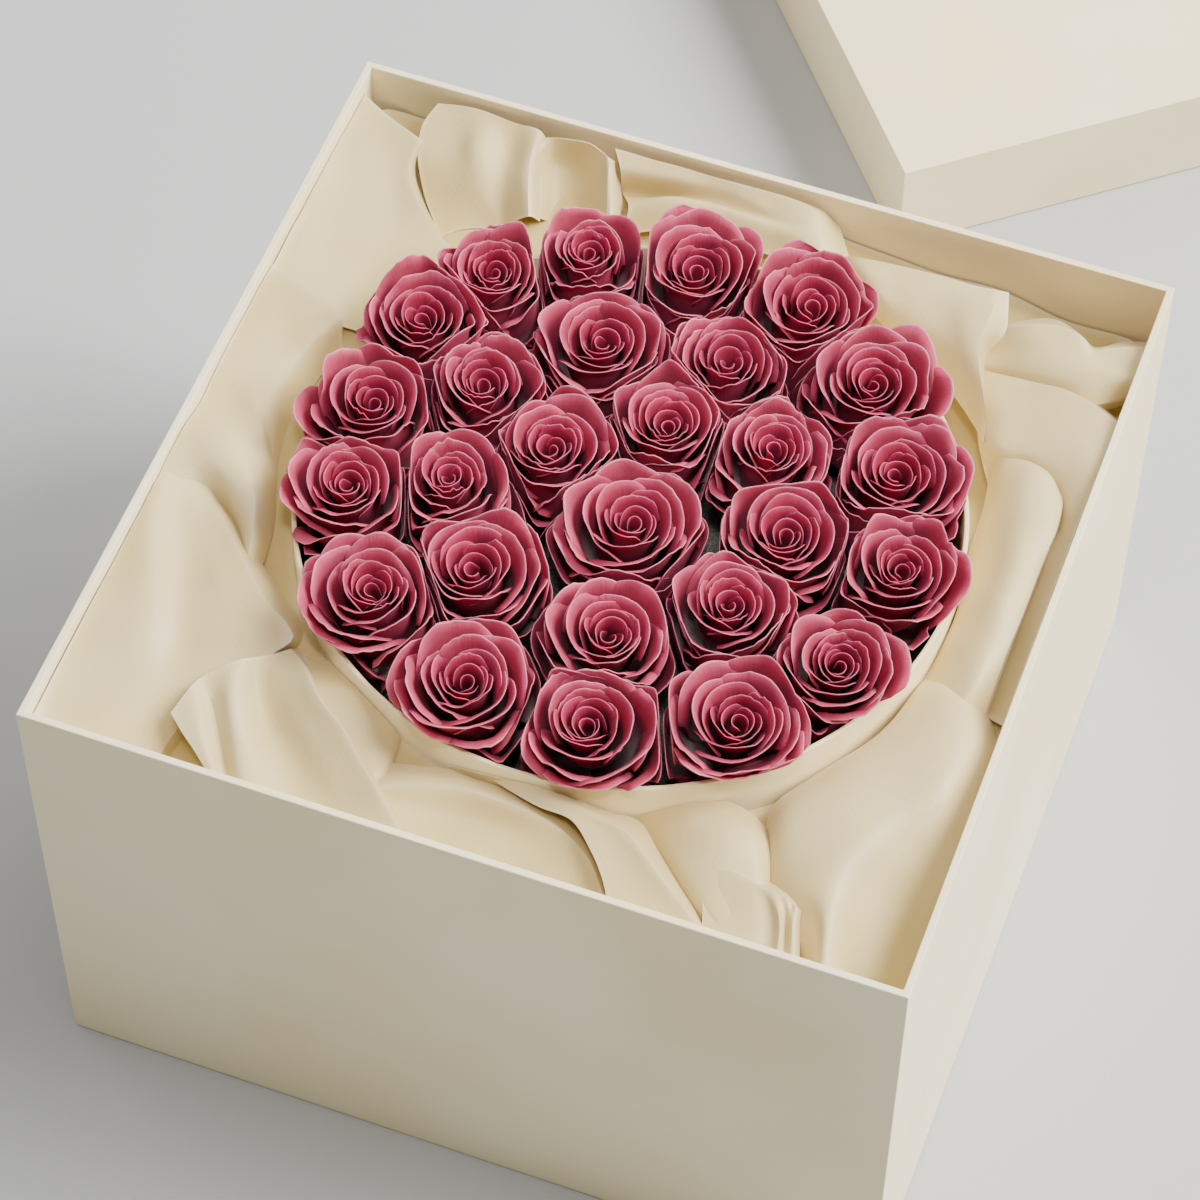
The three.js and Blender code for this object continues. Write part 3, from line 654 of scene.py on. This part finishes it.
def plain_noise_material(name, light, dark, roughness, grain_mm, depth):
    """A dull surface with one grain: open foam cells, or the crinkle of stem tape."""
    material, tree, shader = new_material(name)
    place = add_node(tree, "ShaderNodeTexCoord").outputs["Object"]
    grain = add_node(tree, "ShaderNodeTexNoise", inputs={"Scale": scale_for(grain_mm), "Detail": 3},
                     links={"Vector": place})
    tone = add_node(tree, "ShaderNodeValToRGB", links={"Fac": grain.outputs["Fac"]},
                    stops=[(0.35, linear(dark)), (0.65, linear(light))])
    bump = add_node(tree, "ShaderNodeBump", inputs={"Strength": 0.6, "Distance": depth * MM},
                    links={"Height": grain.outputs["Fac"]})
    set_inputs(tree, shader, {"Roughness": roughness},
               {"Base Color": tone.outputs["Color"], "Normal": bump.outputs["Normal"]})
    return material


def mesh_object(name, points, quads, uvs=None):
    """A smooth mesh from points in millimetres and quads, with one UV pair for each point if given."""
    mesh = bpy.data.meshes.new(name)
    mesh.vertices.add(len(points))
    mesh.vertices.foreach_set("co", (np.asarray(points, np.float32) * MM).ravel())
    quads = np.asarray(quads, np.int32)
    mesh.loops.add(quads.size)
    mesh.loops.foreach_set("vertex_index", quads.ravel())
    mesh.polygons.add(len(quads))
    mesh.polygons.foreach_set("loop_start", np.arange(0, quads.size, 4, dtype=np.int32))
    mesh.polygons.foreach_set("use_smooth", np.full(len(quads), True))
    if uvs is not None:
        layer = mesh.uv_layers.new(name="petal")
        layer.data.foreach_set("uv", np.asarray(uvs, np.float32)[quads.ravel()].ravel())
    mesh.update(calc_edges=True)
    mesh.validate()
    made = bpy.data.objects.new(name, mesh)
    bpy.context.scene.collection.objects.link(made)
    return made


def placed(made, node):
    """Hands a finished piece over in its node's place."""
    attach(made, ROOT)
    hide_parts(node)
    return made


def grid_quads(rows, columns, offset=0, wrap=False):
    """The quads of a grid of points, row by row, closed across the columns if wrap is true."""
    last = columns if wrap else columns - 1
    j, i = np.meshgrid(np.arange(rows - 1), np.arange(last), indexing="ij")
    here = j * columns + i
    beside = j * columns + (i + 1) % columns
    return offset + np.stack([here, beside, beside + columns, here + columns], -1).reshape(-1, 4)


def grid_normals(grid):
    """Unit normals of a grid of points, rows by columns."""
    normals = np.cross(np.gradient(grid, axis=1), np.gradient(grid, axis=0))
    return normals / np.maximum(np.linalg.norm(normals, axis=2, keepdims=True), 1e-9)


def joined(parts):
    """Meshes given as points and quads put into one: its points and quads."""
    starts = np.cumsum([0] + [len(points) for points, _ in parts])
    return (np.concatenate([points for points, _ in parts]),
            np.concatenate([quads + start for (_, quads), start in zip(parts, starts)]))


def turned(profile, x, y, sides):
    """A profile of (radius, height) pairs turned about an upright axis: its points and quads."""
    angle = np.arange(sides) * 2 * math.pi / sides
    grid = np.array([[[x + r * math.cos(a), y + r * math.sin(a), z] for a in angle] for r, z in profile])
    return grid.reshape(-1, 3), grid_quads(len(profile), sides, wrap=True)


def shell(grid, thick):
    """A closed thin shell from a grid: its points and quads, both faces joined round the edge."""
    rows, columns = grid.shape[:2]
    push = grid_normals(grid) * thick / 2
    points = np.concatenate([(grid + push).reshape(-1, 3), (grid - push).reshape(-1, 3)])
    count = rows * columns
    front = grid_quads(rows, columns)
    back = grid_quads(rows, columns, count)[:, ::-1]
    index = np.arange(count).reshape(rows, columns)
    edge = np.concatenate([index[0, :], index[1:, -1], index[-1, -2::-1], index[-2:0:-1, 0]])
    after = np.roll(edge, -1)
    rim = np.stack([edge, edge + count, after + count, after], -1)
    return points, np.concatenate([front, back, rim])


def bezier(line, s):
    """A cubic curve through the first and last of four points, at the shares s."""
    p = np.asarray(line, float)
    s = s[:, None]
    return ((1 - s) ** 3 * p[0] + 3 * (1 - s) ** 2 * s * p[1] + 3 * (1 - s) * s ** 2 * p[2] + s ** 3 * p[3])


def smooth_step(low, high, value):
    """0 below low and 1 above high, with a soft rise between."""
    share = np.clip((value - low) / (high - low), 0, 1)
    return share * share * (3 - 2 * share)


def softly(distance, limit):
    """A distance that grows straight at first and then bends short of its limit."""
    free = limit * PRESS_FREE
    room = limit - free
    bent = limit - room * np.exp(-(np.maximum(distance, free) - free) / room)
    return np.where(distance <= free, distance, bent)


def pressed(points, head, gap):
    """Petal points pressed back from the neighbouring heads and from the drum's wall."""
    x, y, reach = HEADS[head]
    dx = points[..., 0] - x
    dy = points[..., 1] - y
    z = points[..., 2]
    squeezed = np.zeros_like(z)
    for other, (next_x, next_y, next_reach) in enumerate(HEADS):
        apart = math.hypot(next_x - x, next_y - y)
        if other == head or apart > PRESS_NEIGHBOURS:
            continue
        ux, uy = (next_x - x) / apart, (next_y - y) / apart
        stray = BORDER_STRAY * math.sin(2.1 * (head + 1) * (other + 1)) * (1 if other > head else -1)
        limit = apart * reach / (reach + next_reach) + stray - gap
        toward = dx * ux + dy * uy
        kept = softly(toward, limit)
        dx = dx + (kept - toward) * ux
        dy = dy + (kept - toward) * uy
        squeezed += toward - kept
    slant = np.clip((z - DRUM_RIM) * OVERHANG_SLOPE, -OVERHANG_BELOW, OVERHANG_ABOVE)
    held = DRUM_INSIDE - OVERHANG_CLEAR + slant
    away = np.hypot(x + dx - DRUM_X, y + dy - DRUM_Y)
    scale = np.where(away > held, held / np.maximum(away, 1e-6), 1)
    lifted = z + np.minimum(MOST_LIFT, PRESS_LIFT * squeezed)
    return np.stack([DRUM_X + (x + dx - DRUM_X) * scale,
                     DRUM_Y + (y + dy - DRUM_Y) * scale,
                     np.minimum(lifted, TOP_OF_HEADS)], -1)


def head_root(head):
    """Where a head's stem stands, nearer the drum's axis than the head."""
    x, y, _ = HEADS[head]
    return DRUM_X + (x - DRUM_X) * HEAD_LEAN, DRUM_Y + (y - DRUM_Y) * HEAD_LEAN


def head_points(head, angle, out, up, gap):
    """Points of a head from the angle round it and its shares of the reach and of the height."""
    x, y, reach = HEADS[head]
    root_x, root_y = head_root(head)
    lean = np.minimum(up / LEAN_BY, MOST_LEAN)
    # Each head faces its own way, so its heart stands a little off its middle
    faces = 2.4 * head
    heart = np.clip(up, 0, 1) ** 2 * (1 - np.minimum(out, 1))
    tilt = HEAD_TILT * (0.4 + 0.6 * math.sin(1.7 * head) ** 2) * heart
    forward = HEART_FORWARD * heart
    aside_x = np.cos(angle) * out * reach + tilt * math.cos(faces) + forward * FACING[0]
    aside_y = np.sin(angle) * out * reach + tilt * math.sin(faces) + forward * FACING[1]
    raised = -FACING_TILT * (aside_x * FACING[0] + aside_y * FACING[1]) * np.clip(up, 0, 1)
    free = np.stack([root_x + (x - root_x) * lean + aside_x,
                     root_y + (y - root_y) * lean + aside_y,
                     HEAD_BASE + up * HEAD_HEIGHT + raised], -1)
    return pressed(free, head, gap)


def petal_grid(head, layer, petal, wide_open, chance):
    """One petal's middle surface, from its root to its rim, and its UV pairs."""
    shape = LAYERS[layer]
    reach = HEADS[head][2]
    u = np.linspace(-1, 1, PETAL_ACROSS + 1)[None, :]
    s = 1 - (1 - np.linspace(0, 1, PETAL_ALONG + 1)) ** 1.5
    line = bezier(shape["line"], s)
    s = s[:, None]
    outer = 1 - layer / (len(LAYERS) - 1)
    wide = math.radians(shape["half"]) * chance.uniform(*WIDTH_SPREAD)
    turn = math.radians(360 * petal / shape["petals"] + shape["turn"] + HEAD_TURN * head
                        + chance.uniform(-TURN_SPREAD, TURN_SPREAD))
    far = 1 + (0.04 + 0.06 * outer) * chance.uniform(-1, 1)
    tall = 1 + (0.02 + 0.05 * outer) * chance.uniform(-1, 1)
    corner = shape["corner"] * chance.uniform(*CORNER_SPREAD)
    # Its width grows from the root up to the middle
    spread = 0.45 + 0.55 * np.sin(np.minimum(1, s / 0.55) * math.pi / 2)
    angle = turn + u * wide * spread
    # The rim waves up and down, and in and out
    phase = chance.uniform(0, 2 * math.pi, 4)
    ripple = (0.6 * np.sin(3.1 * u + phase[0]) + 0.4 * np.sin(6.7 * u + phase[1])) * s ** 3
    wobble = (0.6 * np.sin(2.3 * u + phase[2]) + 0.4 * np.sin(5.3 * u + phase[3])) * s ** 2
    # How far a place is to the side of the tip, softened there. No column lies at u = 0.
    side = np.sqrt(u ** 2 + 0.002) - 0.045
    out = line[:, :1] * np.where(s > 0.3, far, 1) * (1 - shape["tuck"] * u * np.sqrt(s))
    out = out * (1 + (wide_open - 1) * math.sin(math.pi * layer / (len(LAYERS) - 1)))
    out = out * (1 - corner * side ** shape["tip"] * s ** 2) + (0.006 + 0.034 * outer) * wobble
    # A dent along the petal, where another pressed on it as it dried
    dent = chance.uniform(-DENT_PLACE, DENT_PLACE)
    out = out + outer * chance.uniform(*DENT_DEEP) * np.exp(-((u - dent) / DENT_WIDE) ** 2) * s ** 3
    up = line[:, 1:] * tall - shape["notch"] * side ** (shape["tip"] + 0.8) * s ** 1.5
    up = up - SIDE_DROP * (0.4 + 0.6 * outer) * smooth_step(0.6, 1.08, side) * s ** 2
    up = up + 0.024 * (0.3 + outer) * ripple
    # The rim rolls out and down, most beside the tip
    bend = smooth_step(0.68, 1.0, s)
    beside = smooth_step(0.05, 0.5, side) * (1 - smooth_step(0.7, 1.0, side))
    roll = shape["roll"] * chance.uniform(*ROLL_SPREAD)
    out = out + 0.5 * roll * (0.55 + 0.15 * beside) * bend / reach
    up = up - 0.7 * roll * (0.3 + 0.7 * beside) * bend ** 2.5 / HEAD_HEIGHT
    if layer < RAGGED_LAYERS and chance.uniform() < RAGGED_SHARE:
        ragged = chance.normal(0, 1, PETAL_ACROSS + 1)[None, :] * smooth_step(0.82, 1.0, s)
        up = up + chance.uniform(*RAGGED_HIGH) * ragged
    gap = chance.uniform(*OUTER_GAPS[layer]) if layer < len(OUTER_GAPS) else PRESS_GAP
    grid = head_points(head, angle + 0 * s, out, up, gap)
    uv = np.stack([np.broadcast_to((u + 1) / 2 + petal + UV_LAYER * layer, grid.shape[:2]),
                   np.broadcast_to(s * (1 - 0.02 * side), grid.shape[:2])], -1)
    return grid, uv


def rose_head(head, thick):
    """All the petals of one head, as one mesh, each so many millimetres thick."""
    chance = np.random.default_rng(SEED + head)
    wide_open = chance.uniform(*HEAD_OPEN)
    petals = [petal_grid(head, layer, petal, wide_open, chance)
              for layer, shape in enumerate(LAYERS) for petal in range(shape["petals"])]
    points, quads = joined([shell(grid, thick) for grid, _ in petals])
    uvs = np.concatenate([np.tile(uv.reshape(-1, 2), (2, 1)) for _, uv in petals])
    name = f"rose_{head + 1:02d}"
    return placed(mesh_object(name + "_petals", points, quads, uvs), name)


def stem_piece(head):
    """A head's calyx with five pointed sepals, on its taped stem."""
    name = f"stem_{head + 1:02d}"
    root_x, root_y = head_root(head)
    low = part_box(name)[0].z / MM
    top = HEAD_BASE - 0.4
    # Radii and heights, from the stem's cut end up to the top of the calyx
    profile = [(0.0, low), (1.6, low), (1.7, (low + top) / 2), (1.6, top - 8), (2.4, top - 6.5),
               (3.9, top - 4), (4.3, top - 2.2), (3.8, top - 0.6), (0.0, top - 0.2)]
    parts = [turned(profile, root_x, root_y, STEM_SIDES)]
    for sepal in range(SEPALS):
        turn = sepal * 2 * math.pi / SEPALS + head
        s = np.linspace(0, 1, 7)[:, None]
        u = np.linspace(-1, 1, 5)[None, :]
        width = SEPAL_WIDE / 2 * (1 - s) ** 0.7 + 0.12
        r = 3.2 + SEPAL_LONG * s
        z = top - 1.8 - SEPAL_DROOP * s ** 2 - 0.5 * u ** 2
        leaf = np.stack([root_x + r * math.cos(turn) - u * width * math.sin(turn) + 0 * z,
                         root_y + r * math.sin(turn) + u * width * math.cos(turn) + 0 * z,
                         z], -1)
        parts.append(shell(leaf, SEPAL_THICK))
    return placed(mesh_object(name + "_calyx", *joined(parts)), name)


def wall_reach(angle, clear):
    """How far the square box's inner wall is from the drum's axis in each direction."""
    room = BOX_HALF - BOARD - clear
    dx, dy = np.cos(angle), np.sin(angle)
    to_side = np.where(dx > 0, room - DRUM_X, room + DRUM_X) / np.maximum(np.abs(dx), 1e-6)
    to_end = np.where(dy > 0, room - DRUM_Y, room + DRUM_Y) / np.maximum(np.abs(dy), 1e-6)
    return (to_side ** -CORNER_POWER + to_end ** -CORNER_POWER) ** (-1 / CORNER_POWER)


def smooth_line(points, shares):
    """Places along a smooth curve through points, at shares of its length; points is a stack."""
    points = np.asarray(points, float)
    steps = np.linalg.norm(np.diff(points, axis=0), axis=-1)
    if steps.ndim > 1:
        steps = steps.mean(axis=tuple(range(1, steps.ndim)))
    knots = np.concatenate([[0], np.cumsum(steps)])
    knots /= knots[-1]
    slopes = np.gradient(points, knots, axis=0)
    at = np.clip(np.searchsorted(knots, shares, side="right") - 1, 0, len(points) - 2)
    gap = knots[at + 1] - knots[at]
    t = (shares - knots[at]) / gap
    shape = (len(shares),) + (1,) * (points.ndim - 1)
    t, gap = t.reshape(shape), gap.reshape(shape)
    return ((2 * t ** 3 - 3 * t ** 2 + 1) * points[at] + (t ** 3 - 2 * t ** 2 + t) * gap * slopes[at]
            + (3 * t ** 2 - 2 * t ** 3) * points[at + 1] + (t ** 3 - t ** 2) * gap * slopes[at + 1])


def waves(grid, chance, size, height):
    """Adds a few soft waves to a grid's height, each about size long and height high."""
    x, y = grid[..., 0], grid[..., 1]
    for _ in range(WAVE_COUNT):
        turn = chance.uniform(0, math.pi)
        length = size * chance.uniform(0.6, 1.6)
        along = x * math.cos(turn) + y * math.sin(turn)
        across = y * math.cos(turn) - x * math.sin(turn)
        bend = 0.35 * length * np.sin(across / length + chance.uniform(0, 6))
        grid[..., 2] += height / 3 * np.sin(2 * math.pi * (along + bend) / length + chance.uniform(0, 6))
    return grid


def held_off(grid, clear):
    """Keeps cloth between the drum and the square box's walls, and below the rim."""
    x, y = grid[..., 0] - DRUM_X, grid[..., 1] - DRUM_Y
    angle = np.arctan2(y, x)
    away = np.clip(np.hypot(x, y), DRUM_RADIUS + clear, None)
    room = BOX_HALF - BOARD - clear
    grid[..., 0] = np.clip(DRUM_X + away * np.cos(angle), -room, room)
    grid[..., 1] = np.clip(DRUM_Y + away * np.sin(angle), -room, room)
    grid[..., 2] = np.minimum(grid[..., 2], BOX_RIM - BELOW_RIM)
    return grid


def panel_grid(rails, creased, chance):
    """One folded panel, smooth along its rails and from rail to rail but for its creased sides."""
    along = np.linspace(0, 1, PANEL_ALONG)
    lines = []
    for rail in rails:
        rail = np.asarray(rail, float)
        rail[:, 2] = FOLD_TOP - (FOLD_TOP - rail[:, 2]) * FOLD_DEPTH
        lift = rail[:, 2] - SEEN_HEIGHT
        slid = np.stack([rail[:, 0] + SLIDE[0] * lift, rail[:, 1] + SLIDE[1] * lift, rail[:, 2]], -1)
        lines.append(smooth_line(slid, along))
    lines = np.array(lines)
    first, last = creased
    rows = ROWS_A_RAIL * (len(lines) - first - last)
    parts = [smooth_line(lines[first:len(lines) - last], np.linspace(0, 1, rows))]
    steps = np.linspace(0, 1, CREASE_ROWS + 1)[:-1, None, None]
    if first:
        parts.insert(0, lines[0] + (lines[1] - lines[0]) * steps)
    if last:
        parts.append((lines[-1] + (lines[-2] - lines[-1]) * steps)[::-1])
    return held_off(waves(np.concatenate(parts), chance, *PANEL_WAVES), PANEL_CLEAR)


def ring_grid(chance):
    """The cloth under the panels: from below the drum, up beside it, and out to the walls."""
    angle = np.arange(RING_AROUND) * 2 * math.pi / RING_AROUND
    inner = DRUM_RADIUS + RING_CLEAR
    reach = wall_reach(angle, RING_WALL_CLEAR)
    across = np.linspace(0.0, 1, RING_ACROSS)[:, None]
    radius = inner + (reach - inner)[None, :] * across
    dip = sum(deep * np.exp(-((np.degrees(angle) - toward) / wide) ** 2)
              for toward, wide, deep in CORNER_DIPS)
    height = CLOTH_VALLEY + (CLOTH_HEM - CLOTH_VALLEY) * across ** 2.2 - dip
    upper = np.stack([DRUM_X + radius * np.cos(angle), DRUM_Y + radius * np.sin(angle),
                      height + 0 * radius], -1)
    upper = held_off(waves(upper, chance, *RING_WAVES), RING_CLEAR)
    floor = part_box("cloth_liner")[0].z / MM + 0.4
    # The hidden part lies under the drum and rises beside it: share of the way to the wall, height
    leg = []
    for share, height in ((None, floor), (0.1, floor), (0.13, floor + 3), (0.15, 60), (0.15, 120),
                          (0.1, 170)):
        out = np.full(angle.shape, HOLE_UNDER_DRUM) if share is None else inner + (reach - inner) * share
        leg.append(np.stack([DRUM_X + out * np.cos(angle), DRUM_Y + out * np.sin(angle),
                             np.full(angle.shape, height)], -1))
    return np.concatenate([np.array(leg), upper])


def closed_ring(grid, thick):
    """A closed thin shell from a grid that runs all the way round: its points and quads."""
    rows, columns = grid.shape[:2]
    push = grid_normals(np.concatenate([grid[:, -1:], grid, grid[:, :1]], 1))[:, 1:-1] * thick / 2
    count = rows * columns
    faces = [grid_quads(rows, columns, wrap=True),
             grid_quads(rows, columns, count, wrap=True)[:, ::-1]]
    for row in (0, rows - 1):
        here = row * columns + np.arange(columns)
        after = row * columns + (np.arange(columns) + 1) % columns
        strip = np.stack([here, here + count, after + count, after], -1)
        faces.append(strip if row == 0 else strip[:, ::-1])
    points = np.concatenate([(grid + push).reshape(-1, 3), (grid - push).reshape(-1, 3)])
    return points, np.concatenate(faces)


def cloth_liner_piece(thick):
    """The whole cloth: the ring under the drum and up beside it, and the folded panels over it."""
    chance = np.random.default_rng(SEED)
    parts = [closed_ring(ring_grid(chance), thick)]
    for name, rails in PANELS.items():
        parts.append(shell(panel_grid(rails, CREASED.get(name, (0, 0)), chance), thick))
    made = mesh_object("satin_liner", *joined(parts))
    made.data.set_sharp_from_angle(angle=math.radians(CREASE_ANGLE))
    placed(made, "cloth_liner")
    return made


def soft_edged(node, soft):
    """A copy of a board box's solid with its edges rounded by soft millimetres, in its place."""
    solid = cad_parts[node]
    shape = bmesh.new()
    shape.from_mesh(solid.data)
    shape.transform(solid.matrix_world)
    bmesh.ops.remove_doubles(shape, verts=shape.verts, dist=1e-6)
    bmesh.ops.dissolve_limit(shape, angle_limit=0.02, verts=shape.verts, edges=shape.edges)
    bmesh.ops.bevel(shape, geom=shape.edges[:], offset=soft * MM, segments=3, affect="EDGES",
                    profile=0.5, clamp_overlap=True)
    mesh = bpy.data.meshes.new(node + "_board")
    shape.to_mesh(mesh)
    shape.free()
    made = bpy.data.objects.new(node + "_board", mesh)
    bpy.context.scene.collection.objects.link(made)
    return placed(made, node)


def drum_piece(soft):
    """The round box: a rolled board wall with a rim rounded by soft millimetres, and a floor."""
    low = DRUM_LOW.z / MM
    out, inside = DRUM_RADIUS, DRUM_INSIDE
    profile = [(0, low), (out - soft, low), (out, low + soft), (out, DRUM_RIM - soft),
               (out - soft / 3, DRUM_RIM - soft / 3), (out - soft, DRUM_RIM), (inside + soft, DRUM_RIM),
               (inside + soft / 3, DRUM_RIM - soft / 3), (inside, DRUM_RIM - soft), (inside, low + BOARD),
               (0, low + BOARD)]
    wall = mesh_object("round_box_wall", *turned(profile, DRUM_X, DRUM_Y, DRUM_SIDES))
    return placed(wall, "round_box")


class BoxLook(bpy.types.PropertyGroup):
    edge_round: bpy.props.FloatProperty(
        name="Edge rounding", description="Radius of the boards' folded edges",
        default=EDGE_ROUND * MM, min=0.1 * MM, precision=5, subtype="DISTANCE", unit="LENGTH")
    paper: bpy.props.StringProperty(
        name="Paper", description="Colour of the boxes' ivory paper", default="#FBF2CF")
    paper_dark: bpy.props.StringProperty(
        name="Paper shade", description="The paper's darker clouds", default="#F8E7BC")


class RoseLook(bpy.types.PropertyGroup):
    thick: bpy.props.FloatProperty(
        name="Petal thickness", description="Thickness of a preserved petal",
        default=PETAL_THICK * MM, min=0.1 * MM, precision=5, subtype="DISTANCE", unit="LENGTH")
    # Pale, so that the shade in the gaps between the layers is lifted
    deep: bpy.props.StringProperty(
        name="Root", description="Petal colour at the root", default="#D6CACC")
    # Painted shade: the petal is drawn darkest half way up
    middle: bpy.props.StringProperty(
        name="Middle", description="Petal colour half way up", default="#94405B")
    light: bpy.props.StringProperty(
        name="Upper", description="Petal colour high up", default="#BE4866")
    # Painted highlight under the rim
    bright: bpy.props.StringProperty(
        name="Under the rim", description="Petal colour by the rim", default="#E45C84")
    # Partly the rim's own paler colour, partly painted highlight
    rim: bpy.props.StringProperty(
        name="Rim", description="Colour of the thin rim", default="#FFA0B9")


class ClothLook(bpy.types.PropertyGroup):
    thick: bpy.props.FloatProperty(
        name="Cloth thickness", description="Thickness of the satin",
        default=CLOTH_THICK * MM, min=0.1 * MM, precision=5, subtype="DISTANCE", unit="LENGTH")
    light: bpy.props.StringProperty(
        name="Cloth", description="Colour of the satin", default="#E8D7A5")
    dark: bpy.props.StringProperty(
        name="Cloth shade", description="The satin's darker clouds", default="#DDC88E")
    # Painted shade: the colour the satin is painted low in its folds; it also tints the light through the
    # cloth
    painted_fold_shade: bpy.props.StringProperty(
        name="Depths", description="The satin deep in its folds", default="#D8C27C")


class ARRANGEMENT_OT_boxes(bpy.types.Operator):
    """Finish the square box, its lid and the round box"""
    bl_idname = "arrangement.boxes"
    bl_label = "Boxes"

    def execute(self, context):
        look = context.scene.box_look
        paper = wrapped_paper_material("ivory paper over greyboard", look.paper, look.paper_dark)
        cream = wrapped_paper_material("cream paper over rolled board", *DRUM_PAPER)
        soft = in_millimetres(look.edge_round)
        for node in ("outer_box", "box_lid"):
            soft_edged(node, soft).data.materials.append(paper)
        drum_piece(soft).data.materials.append(cream)
        return {"FINISHED"}


class ARRANGEMENT_OT_foam(bpy.types.Operator):
    """Finish the foam that the heads are planted in"""
    bl_idname = "arrangement.foam"
    bl_label = "Foam"

    def execute(self, context):
        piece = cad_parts["floral_foam"]
        piece.data.materials.clear()
        # The foam's grey is partly its own colour and partly drawn paler to lift the shade in the gaps
        # between the heads
        foam = plain_noise_material("dark floral foam", *FOAM_CELLS, 0.95, 1.2, 0.8)
        piece.data.materials.append(foam)
        return {"FINISHED"}


class ARRANGEMENT_OT_roses(bpy.types.Operator):
    """Build the rose heads, petal by petal"""
    bl_idname = "arrangement.roses"
    bl_label = "Rose heads"

    def execute(self, context):
        look = context.scene.rose_look
        material = preserved_petal_material(look.deep, look.middle, look.light, look.bright, look.rim)
        for head in range(len(HEADS)):
            rose_head(head, in_millimetres(look.thick)).data.materials.append(material)
        return {"FINISHED"}


class ARRANGEMENT_OT_stems(bpy.types.Operator):
    """Build each head's calyx and stem"""
    bl_idname = "arrangement.stems"
    bl_label = "Stems"

    def execute(self, context):
        material = plain_noise_material("green stem tape and sepals", *STEM_TAPE, 0.8, 2.0, 0.3)
        for head in range(len(HEADS)):
            stem_piece(head).data.materials.append(material)
        return {"FINISHED"}


class ARRANGEMENT_OT_cloth(bpy.types.Operator):
    """Build the satin cloth in the square box"""
    bl_idname = "arrangement.cloth"
    bl_label = "Satin cloth"

    def execute(self, context):
        look = context.scene.cloth_look
        satin = silk_satin_material(look.light, look.dark, look.painted_fold_shade)
        cloth_liner_piece(in_millimetres(look.thick)).data.materials.append(satin)
        return {"FINISHED"}


def aim(scene, lamp, place, target):
    """Stands a lamp at its place, turned to its target."""
    held = bpy.data.objects.new(lamp.name, lamp)
    held.location = place
    held.rotation_euler = (Vector(target) - Vector(place)).to_track_quat("-Z", "Y").to_euler()
    scene.collection.objects.link(held)


class ARRANGEMENT_OT_stage(bpy.types.Operator):
    """Lay the pale floor and set the soft studio light and the camera"""
    bl_idname = "arrangement.stage"
    bl_label = "Floor, light and camera"

    def execute(self, context):
        scene = context.scene
        bpy.ops.mesh.primitive_plane_add(size=FLOOR_SIDE, location=(0, 0, -FLOOR_DROP))
        floor = context.object
        floor.name = "floor"
        material, tree, shader = new_material("pale matt floor")
        set_inputs(tree, shader, {"Base Color": linear(FLOOR_COLOUR), "Roughness": 0.6})
        floor.data.materials.append(material)
        world = bpy.data.worlds.new("soft studio")
        world.use_nodes = True
        set_inputs(world.node_tree, world.node_tree.nodes["Background"],
                   {"Color": linear(SKY_COLOUR), "Strength": SKY_STRENGTH})
        scene.world = world
        spot = bpy.data.lights.new("spot on the heads", "SPOT")
        spot.energy = SPOT_WATTS
        spot.spot_size = math.radians(SPOT_DEGREES)
        spot.spot_blend = SPOT_BLEND
        spot.shadow_soft_size = SPOT_RADIUS
        spot.color = linear(SPOT_COLOUR)[:3]
        aim(scene, spot, SPOT_PLACE, SPOT_TARGET)
        for name, place, target, side, watts, colour in AREA_LAMPS:
            lamp = bpy.data.lights.new(name, "AREA")
            lamp.size = side
            lamp.energy = watts
            lamp.color = linear(colour)[:3]
            aim(scene, lamp, place, target)
        camera = bpy.data.cameras.new("camera")
        camera.lens = CAMERA_LENS
        camera.sensor_width = CAMERA_SENSOR
        held = bpy.data.objects.new("camera", camera)
        back = -Vector(CAMERA_LOOK).normalized()
        right = Vector(CAMERA_UP).cross(back).normalized()
        up = back.cross(right)
        turned = Matrix((right, up, back)).transposed().to_4x4()
        held.matrix_world = Matrix.Translation(CAMERA_PLACE) @ turned
        scene.collection.objects.link(held)
        scene.camera = held
        return {"FINISHED"}


class ARRANGEMENT_PT_panel(bpy.types.Panel):
    """The arrangement's pieces and their looks"""
    bl_idname = "ARRANGEMENT_PT_panel"
    bl_label = "Preserved Roses"
    bl_space_type = "VIEW_3D"
    bl_region_type = "UI"
    bl_category = "Roses"

    def draw(self, context):
        layout = self.layout
        for group in ("box_look", "rose_look", "cloth_look"):
            for name in getattr(context.scene, group).__annotations__:
                layout.prop(getattr(context.scene, group), name)
        for operator in OPERATORS:
            layout.operator(operator.bl_idname)


OPERATORS = (ARRANGEMENT_OT_boxes, ARRANGEMENT_OT_foam, ARRANGEMENT_OT_stems, ARRANGEMENT_OT_roses,
             ARRANGEMENT_OT_cloth, ARRANGEMENT_OT_stage)
GROUPS = {"box_look": BoxLook, "rose_look": RoseLook, "cloth_look": ClothLook}


def register():
    for group in GROUPS.values():
        bpy.utils.register_class(group)
    for kind in (*OPERATORS, ARRANGEMENT_PT_panel):
        bpy.utils.register_class(kind)
    for name, group in GROUPS.items():
        setattr(bpy.types.Scene, name, bpy.props.PointerProperty(type=group))


def unregister():
    for name in GROUPS:
        delattr(bpy.types.Scene, name)
    for kind in (ARRANGEMENT_PT_panel, *reversed(OPERATORS)):
        bpy.utils.unregister_class(kind)
    for group in GROUPS.values():
        bpy.utils.unregister_class(group)


def main():
    register()
    bpy.ops.arrangement.boxes()
    bpy.ops.arrangement.foam()
    bpy.ops.arrangement.stems()
    bpy.ops.arrangement.roses()
    bpy.ops.arrangement.cloth()
    bpy.ops.arrangement.stage()


if __name__ == "__main__":
    main()
